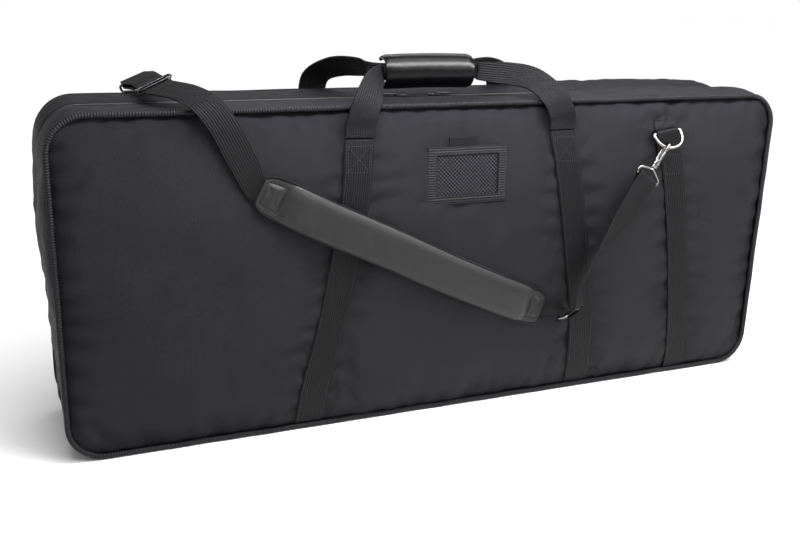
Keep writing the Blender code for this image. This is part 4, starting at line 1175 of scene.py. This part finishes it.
carry = {
    "thickness": 0.0021, "waver": 0.0004, "wrap": 0.0038, "width": 0.034, "ringWidth": 0.028, "ringHalf": 0.0079,
    "ringTall": 0.0177, "ringRound": 0.0035, "ringWire": 0.0015, "wrapTurns": range(0, 181, 20),
    "glideHalf": 0.0090, "glideTall": 0.0208, "glideRound": 0.004, "glideWire": 0.0014, "glideBar": 0.0011,
}
ringFrame = {"centre": Vector((0.1590, -0.1165, 0.1275)), "long": Vector((0.871, 0.473, 0.108)).normalized()}
shortWay = Vector((0.39, -0.807, 0.439))
shortWay = (shortWay - ringFrame["long"] * shortWay.dot(ringFrame["long"])).normalized()
ringNormal = ringFrame["long"].cross(shortWay)


def roundedLoop(centre, first, second, halfFirst, halfSecond, radius, steps=6):
    line = []
    for a, b, turn in ((1, 1, 0), (-1, 1, 90), (-1, -1, 180), (1, -1, 270)):
        for step in range(steps + 1):
            angle = math.radians(turn + 90 * step / steps)
            line.append(centre + first * (a * (halfFirst - radius) + radius * math.cos(angle))
                        + second * (b * (halfSecond - radius) + radius * math.sin(angle)))
    dense = []
    for spot, after in zip(line, line[1:] + line[:1]):
        pieces = max(1, round((after - spot).length / 0.004))
        dense += [spot.lerp(after, k / pieces) for k in range(pieces)]
    return dense


ringLine = roundedLoop(ringFrame["centre"], shortWay, ringFrame["long"], carry["ringHalf"], carry["ringTall"],
                       carry["ringRound"])
strapRing = tubePiece("strapRing", ringLine, carry["ringWire"], sides=12, closed=True)
finishPiece(strapRing, nickel, "front_lid", ["strap_ring"])


def wrapRows(centre, first, second, turns, across, width, radius=carry["wrap"]):
    # webbing rows round a bar, from first at 0 degrees towards second at 90
    rows = []
    for turn in turns:
        angle = math.radians(turn)
        rows.append((centre + first * radius * math.cos(angle) + second * radius * math.sin(angle), across, width))
    return rows


def eyeWrap(side, tail, lead):
    # the sewn end of the webbing round a hook's eye
    at, width = fitting(side), carry["width"]
    shank, across = at["shank"], at["across"]
    face = shank.cross(across).normalized()
    rows = [(at["bar"] + shank * down - face * off, across, width)
            for down, off in ((tail, 0.0016), (0.026, 0.0020), (0.014, 0.0024))]
    rows += wrapRows(at["bar"], -face, -shank, carry["wrapTurns"], across, width)
    return rows + [(at["bar"] + shank * down + face * off, across, width)
                   for down, off in ((0.014, 0.0024), (lead, 0.0020))]


longWay = ringFrame["long"]
innerBar = ringFrame["centre"] - shortWay * carry["ringHalf"]
outerBar = ringFrame["centre"] + shortWay * carry["ringHalf"]
main = [(innerBar + ringNormal * 0.0034 - shortWay * 0.0080, longWay, carry["ringWidth"])]
main += wrapRows(innerBar, ringNormal, shortWay, carry["wrapTurns"], longWay, carry["ringWidth"])
tilt = Vector((0.428, 0.0, 0.904))
route = [(innerBar - ringNormal * 0.004 - shortWay * 0.0035 + Vector((-0.0020, 0.0, 0.0006)), longWay, 0.028),
         ((0.1395, -0.1024, 0.1305), (0.60, 0.15, 0.75), 0.030), ((0.1290, -0.1006, 0.1320), (0.48, 0, 0.87), 0.032)]
route += [((x, -0.1004, z), tilt, 0.034) for x, z in (
    (0.115, 0.1365), (0.084, 0.1490), (-0.010, 0.1925), (-0.104, 0.2400), (-0.185, 0.2790), (-0.229, 0.3020),
    (-0.270, 0.3240))]
route += [(spot, across, 0.034) for spot, across in (
    ((-0.284, -0.1010, 0.3480), (0.80, 0, 0.55)), ((-0.298, -0.1020, 0.3760), (0.90, 0, 0.42)),
    ((-0.312, -0.1015, 0.4030), (0.93, 0, 0.38)), ((-0.329, -0.0960, 0.4260), (0.93, 0.1, 0.38)),
    ((-0.348, -0.0780, 0.4370), (0.93, 0.15, 0.38)), ((-0.364, -0.0520, 0.4390), (0.92, 0.08, 0.40)),
    ((-0.3710, -0.0300, 0.4390), (0.91, 0, 0.42)), ((-0.3725, 0.0450, 0.4380), (0.91, 0, 0.42)))]
mainWebbing = webbingPiece("shoulderWebbingMain", main + smoothRows(route, 8), carry["thickness"],
                           waver=carry["waver"])
finishPiece(mainWebbing, webbing, "front_lid", ["shoulder_webbing_main"])

lower = eyeWrap(-1, 0.040, 0.024)
route = [(lower[-1][0], lower[-1][1], 0.034), ((0.2300, -0.1160, 0.2500), (0.72, 0.30, -0.45), 0.034),
         ((0.1980, -0.1170, 0.2050), (0.50, 0.75, -0.30), 0.034),
         ((0.1750, -0.1190, 0.1650), (0.62, 0.78, -0.15), 0.032),
         (outerBar - ringNormal * 0.0050 + shortWay * 0.012 + longWay * 0.002, longWay, 0.028)]
foot = wrapRows(outerBar, -ringNormal, -shortWay, carry["wrapTurns"], longWay, carry["ringWidth"])
foot.append((outerBar + ringNormal * 0.0030 + shortWay * 0.009, longWay, carry["ringWidth"]))
lowerWebbing = webbingPiece("shoulderWebbingLower", lower[:-1] + smoothRows(route, 10) + foot, carry["thickness"],
                            waver=carry["waver"])
finishPiece(lowerWebbing, webbing, "front_lid", ["shoulder_webbing_lower"])

# the far end: out along the top, round the rear hook's eye and back under itself
at = fitting(1)
face = at["shank"].cross(at["across"]).normalized()
face = -face if face.y < 0 else face
levelWay = (0.91, 0, 0.42)
outward = ((-0.3728, 0.0468, 0.4380), (-0.3737, 0.0580, 0.4386), (-0.3745, 0.0700, 0.4388))
homeward = ((-0.3765, 0.0790, 0.4318), (-0.3750, 0.0640, 0.4330), (-0.3735, 0.0480, 0.4345))
rows = [(spot, levelWay, carry["width"]) for spot in outward]
rows += wrapRows(at["bar"], at["shank"], face, (-8, 15, 38, 60, 82, 104, 126, 148, 170, 188), at["across"],
                 carry["width"], radius=0.0040)
rows += [(spot, levelWay, carry["width"]) for spot in homeward]
rearLoop = webbingPiece("rearStrapLoop", rows, carry["thickness"], level=False)
finishPiece(rearLoop, webbing, "rear_shell", ["rear_strap_loop"])

glideSpot = Vector((-0.3714, -0.0100, 0.4388))
travel = (Vector((-0.3725, 0.0450, 0.4380)) - Vector((-0.3710, -0.0300, 0.4390))).normalized()
glideAcross = Vector(levelWay)
glideAcross = (glideAcross - travel * glideAcross.dot(travel)).normalized()
glideFace = travel.cross(glideAcross).normalized()
glideFace = -glideFace if glideFace.z < 0 else glideFace
glideLine = roundedLoop(glideSpot + glideFace * 0.0029, travel, glideAcross, carry["glideHalf"], carry["glideTall"],
                        carry["glideRound"])
glide = tubePiece("triGlide", glideLine, carry["glideWire"], sides=12, closed=True)
legsDown = [(-0.0196, 0.0029), (-0.0196, 0.0), (-0.0190, -0.0030), (-0.0170, -0.0034), (0.0170, -0.0034),
            (0.0190, -0.0030), (0.0196, 0.0), (0.0196, 0.0029)]
barLine = [glideSpot + glideAcross * a + glideFace * b for a, b in legsDown]
bar = tubePiece("glideBar", barLine, carry["glideBar"], sides=10)
glide = joinPieces("triGlide", glide, bar)
finishPiece(glide, darkNickel, "strap_adjuster", ["tri_glide"], angle=35)
print("shoulder strap made")

pad = {
    "half": 0.026, "back": 0.1019, "front": 0.1130, "cells": 180, "around": 56, "binding": 0.0016, "bindingY": 0.0022,
    "boxes": ((0.022, 0.108), (0.892, 0.978)), "boxHalf": 0.62, "quiltDepth": 0.0024,
    "length": 0.46, "seamShare": 0.86,
    "stations": ((-0.270, 0.3240), (-0.229, 0.3020), (-0.185, 0.2790), (-0.104, 0.2400), (-0.010, 0.1925),
                 (0.084, 0.1490), (0.122, 0.1345)),
}
padLine = [row[0] for row in smoothRows([((x, 0, z), (0, 0, 1), 1) for x, z in pad["stations"]], 16)]
padCount = len(padLine) - 1


def padFrame(v):
    index = min(int(v * padCount), padCount - 1)
    share = v * padCount - index
    spot = padLine[index].lerp(padLine[index + 1], share)
    run = (padLine[min(index + 2, padCount)] - padLine[max(index - 1, 0)]).normalized()
    return spot, Vector((-run.z, 0, run.x))


def padWidth(v):
    return pad["half"] * (1 - 0.36 * math.exp(-v * 22) - 0.30 * math.exp(-(1 - v) * 24))


def padSpot(v, w, depth, inset=0.0):
    # a point at a share v along and w across the pad, this far in front of its back
    spot, across = padFrame(v)
    return Vector((spot.x, -(pad["back"] + depth), spot.z)) + across * w * (padWidth(v) - inset)


def padDepth(v, w):
    # thickness over the back, for a share w across the width: domed, flattened where it is box-stitched
    dome = (1 - abs(w) ** 3.2) ** 0.55 if abs(w) < 1 else 0
    low = 0.42 + 0.58 * (1 - math.exp(-max(v - 0.115, 0) * 34)) * (1 - math.exp(-max(0.885 - v, 0) * 34))
    channel = math.exp(-((v - 0.125) / 0.008) ** 2) + math.exp(-((v - 0.875) / 0.008) ** 2)
    full = (pad["front"] - pad["back"]) * low * (1 - 0.18 * channel)
    for start, end in pad["boxes"]:  # the thread pulls the skin down along each box and its cross
        t, s = (2 * v - start - end) / (end - start), abs(w) / pad["boxHalf"]
        if abs(t) < 1.3 and s < 1.5:
            t = abs(t)
            gap = min(abs(s - t) if max(s, t) < 1.05 else 9, abs(s - 1) if t < 1.05 else 9,
                      abs(t - 1) if s < 1.05 else 9)
            full -= pad["quiltDepth"] * math.exp(-(gap / 0.16) ** 2) - 0.0010 * (max(s, t) < 1)
    return full * (0.16 + 0.84 * dome) + 0.0006 * ripple(v * 0.37, w * 0.02, 0.7, 0.016) * dome


def padPlacer(u, v):
    angle = 2 * math.pi * u
    w = math.copysign(abs(math.cos(angle)) ** 0.7, math.cos(angle))
    depth = padDepth(v, w) if math.sin(angle) >= 0 else 0.0
    return padSpot(v, w, depth), (w * padWidth(v), v * pad["length"])


padBody = gridPiece("shoulderPad", pad["around"], pad["cells"], padPlacer)
editAll(padBody, weld, capEnds, faceOut)
finishPiece(padBody, padLeather, "front_lid", ["pad_face", "pad_foam", "pad_backing"], angle=60)
for name, hand in (("padBindingUpper", 1), ("padBindingLower", -1)):
    line = [padSpot(v, hand, pad["bindingY"], 0.0003) for v in evenly(0, 1, 96)]
    finishPiece(tubePiece(name, line, pad["binding"], sides=8), webbing, "front_lid")


def padStitch(w, v):
    return padSpot(v, w, padDepth(v, w) + 0.0002), Vector((0, -1, 0))


seams = [along2d(crossedBox(low, high), 10, lambda share, v: padStitch(share * pad["boxHalf"], v))
         for low, high in pad["boxes"]]
seams += [[padStitch(hand * pad["seamShare"], v) for v in evenly(0.01, 0.99, 120)] for hand in (-1, 1)]
stitchRun("padStitches", seams, "front_lid")
print("pad made")

pocketBase = Vector((pocket["x"], -(case["depth"] / 2 + crownAt(pocket["x"], pocket["z"]) + 0.0017), pocket["z"]))
pocketUp = Vector((0, math.sin(pocket["tilt"]), math.cos(pocket["tilt"])))
pocketOut = Vector((0, -math.cos(pocket["tilt"]), math.sin(pocket["tilt"])))
pocketSide = Vector((1, 0, 0))


def pocketSpot(a, b, off):
    return pocketBase + pocketSide * a + pocketUp * b + pocketOut * off


def ringAround(u, half, tall, outHalf, outTall, v):
    # a point between an inner and an outer rectangle; u goes round through the four corners
    corner = [(-1, -1), (1, -1), (1, 1), (-1, 1), (-1, -1)]
    leg = min(int(u * 4), 3)
    share = u * 4 - leg
    a = corner[leg][0] + (corner[leg + 1][0] - corner[leg][0]) * share
    b = corner[leg][1] + (corner[leg + 1][1] - corner[leg][1]) * share
    return a * (half + (outHalf - half) * v), b * (tall + (outTall - tall) * v)


def framePlacer(u, v):
    a, b = ringAround(u, pocket["windowWide"], pocket["windowTall"], pocket["wide"], pocket["tall"], v)
    sag = -0.0013 * v ** 3 * (1 if b < pocket["tall"] * 0.98 else 0.0)
    lift = 0.0005 * math.sin(math.pi * v) + 0.0003 * ripple(a, b, 0.2, 0.02)
    return pocketSpot(a, b, pocket["cavity"] + pocket["skin"] + sag + lift), (a, b)


border = gridPiece("idPocketFrame", 96, 8, framePlacer)
editAll(border, weld)
thicken(border, 0.0013, 0)
editAll(border, faceOut)
roundEdges(border, 0.0003)
finishPiece(border, pipingTape, "front_lid", ["id_pocket_frame"])
for name, b in (("idBindingBottom", -pocket["bindingZ"]), ("idBindingTop", pocket["bindingZ"])):
    line = [pocketSpot(a, b, pocket["bindingOff"]) for a in evenly(-pocket["bindingX"], pocket["bindingX"], 30)]
    finishPiece(tubePiece(name, line, pocket["binding"], sides=8), webbing, "front_lid")
line = roundedLoop(pocketSpot(0, 0, 0.0030), pocketSide, pocketUp, pocket["windowWide"], pocket["windowTall"],
                   0.0015, 3)
finishPiece(tubePiece("idBindingWindow", line, 0.0008, sides=8, closed=True), webbing, "front_lid")


def windowPlacer(u, v):
    a = (2 * u - 1) * (pocket["windowWide"] + pocket["windowLap"])
    b = (2 * v - 1) * (pocket["windowTall"] + pocket["windowLap"])
    dish = 0.0004 * math.sin(math.pi * u) * math.sin(math.pi * v) * ripple(a, b, 0.9, 0.03)
    return pocketSpot(a, b, 0.0021 + dish), Matrix.Rotation(math.radians(45), 2) @ Vector((a, b))


window = gridPiece("idMeshWindow", 44, 28, windowPlacer)
thicken(window, 0.0006, 0)
finishPiece(window, meshCloth, "front_lid", ["id_mesh_window"])
bpy.ops.object.select_all(action="DESELECT")
bpy.ops.mesh.primitive_plane_add(size=1)
card = bpy.context.object
card.name = card.data.name = "idCard"
for corner in card.data.vertices:
    corner.co = pocketSpot(corner.co.x * 0.0900, 0.0047 + corner.co.y * 0.0630, 0.0006)
thicken(card, 0.0006, 0)
editAll(card, faceOut)
applyModifier(card, "BEVEL", width=0.00015, segments=2)
finishPiece(card, cardStock, "id_insert", ["id_card"])


def tabPlacer(u, v):
    a = -0.0265 + 0.0400 * u
    b = 0.0369 + 0.0121 * v
    bend = 0.0006 * math.sin(math.pi * u) + 0.0004 * v
    return pocketSpot(a, b, 0.0012 + bend), (a, b)


tab = gridPiece("idPullTab", 16, 8, tabPlacer)
thicken(tab, 0.0012, 0)
roundEdges(tab, 0.0004)
finishPiece(tab, webbing, "id_insert", ["id_pull_tab"])
lines = []
for first, last, lift in (
        ((-0.0535, -0.0320), (-0.0535, 0.0330), 0.0030), ((0.0535, -0.0320), (0.0535, 0.0330), 0.0030),
        ((-0.0535, -0.0320), (0.0535, -0.0320), 0.0030), ((-0.0460, 0.0290), (0.0460, 0.0290), 0.0037),
        ((0.0462, -0.0270), (0.0462, 0.0290), 0.0037)):
    line = along2d((first, last), 24, lambda a, b, lift=lift: (pocketSpot(a, b, lift), pocketOut))
    lines.append(line + [(pocketSpot(*last, lift), pocketOut)])
stitchRun("idStitches", lines, "front_lid", every=pocket["stitchEvery"])
print("card pocket made")


def polishedCopy(name, node, material, body, width):
    twin = bpy.data.objects.new(name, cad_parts[node].data.copy())
    bpy.context.scene.collection.objects.link(twin)
    editAll(twin, weld, lambda: bpy.ops.mesh.dissolve_limited(angle_limit=math.radians(2)), faceOut)
    roundEdges(twin, width, 3, 35)
    return finishPiece(twin, material, body, [node], angle=35)


for hand in ("left", "right"):
    polishedCopy(f"zipSlider{hand.title()}", f"zip_slider_{hand}", darkNickel, f"slider_{hand}", 0.0005)
    polishedCopy(f"zipPull{hand.title()}", f"zip_pull_{hand}", darkNickel, f"pull_{hand}", 0.0003)
    low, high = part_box(f"zip_end_tab_{hand}")
    way = -1 if hand == "left" else 1

    def endTabPlacer(u, v, low=low, high=high, way=way):
        y = low.y + (high.y - low.y) * u
        z = low.z + (high.z - low.z) * v
        swell = 0.0006 * math.sin(math.pi * u) ** 0.4 * math.sin(math.pi * v) ** 0.4
        x = (low.x + high.x) / 2 + way * (swell + 0.0013)
        return Vector((x, y if way > 0 else low.y + high.y - y, z)), (y, z)

    endTab = gridPiece(f"zipEndTab{hand.title()}", 14, 12, endTabPlacer)
    thicken(endTab, 0.0016)
    roundEdges(endTab, 0.0005)
    finishPiece(endTab, webbing, "rear_shell", [f"zip_end_tab_{hand}"])
    x = (low.x + high.x) / 2 + way * 0.0022
    box = [(0.0088, 0.0055), (-0.0088, 0.0055), (-0.0088, -0.0055), (0.0088, -0.0055), (0.0088, 0.0055)]
    run = along2d(box, 6, lambda a, b, x=x, way=way: (Vector((x, a, 0.0615 + b)), Vector((way, 0, 0))))
    stitchRun(f"endTabStitches{hand.title()}", [run], "rear_shell", every=0.0032)
polishedCopy("bottomBoard", "bottom_board", fibreBoard, "rear_shell", 0.0008)
bpy.data.objects.remove(bead, do_unlink=True)
print("small parts made")
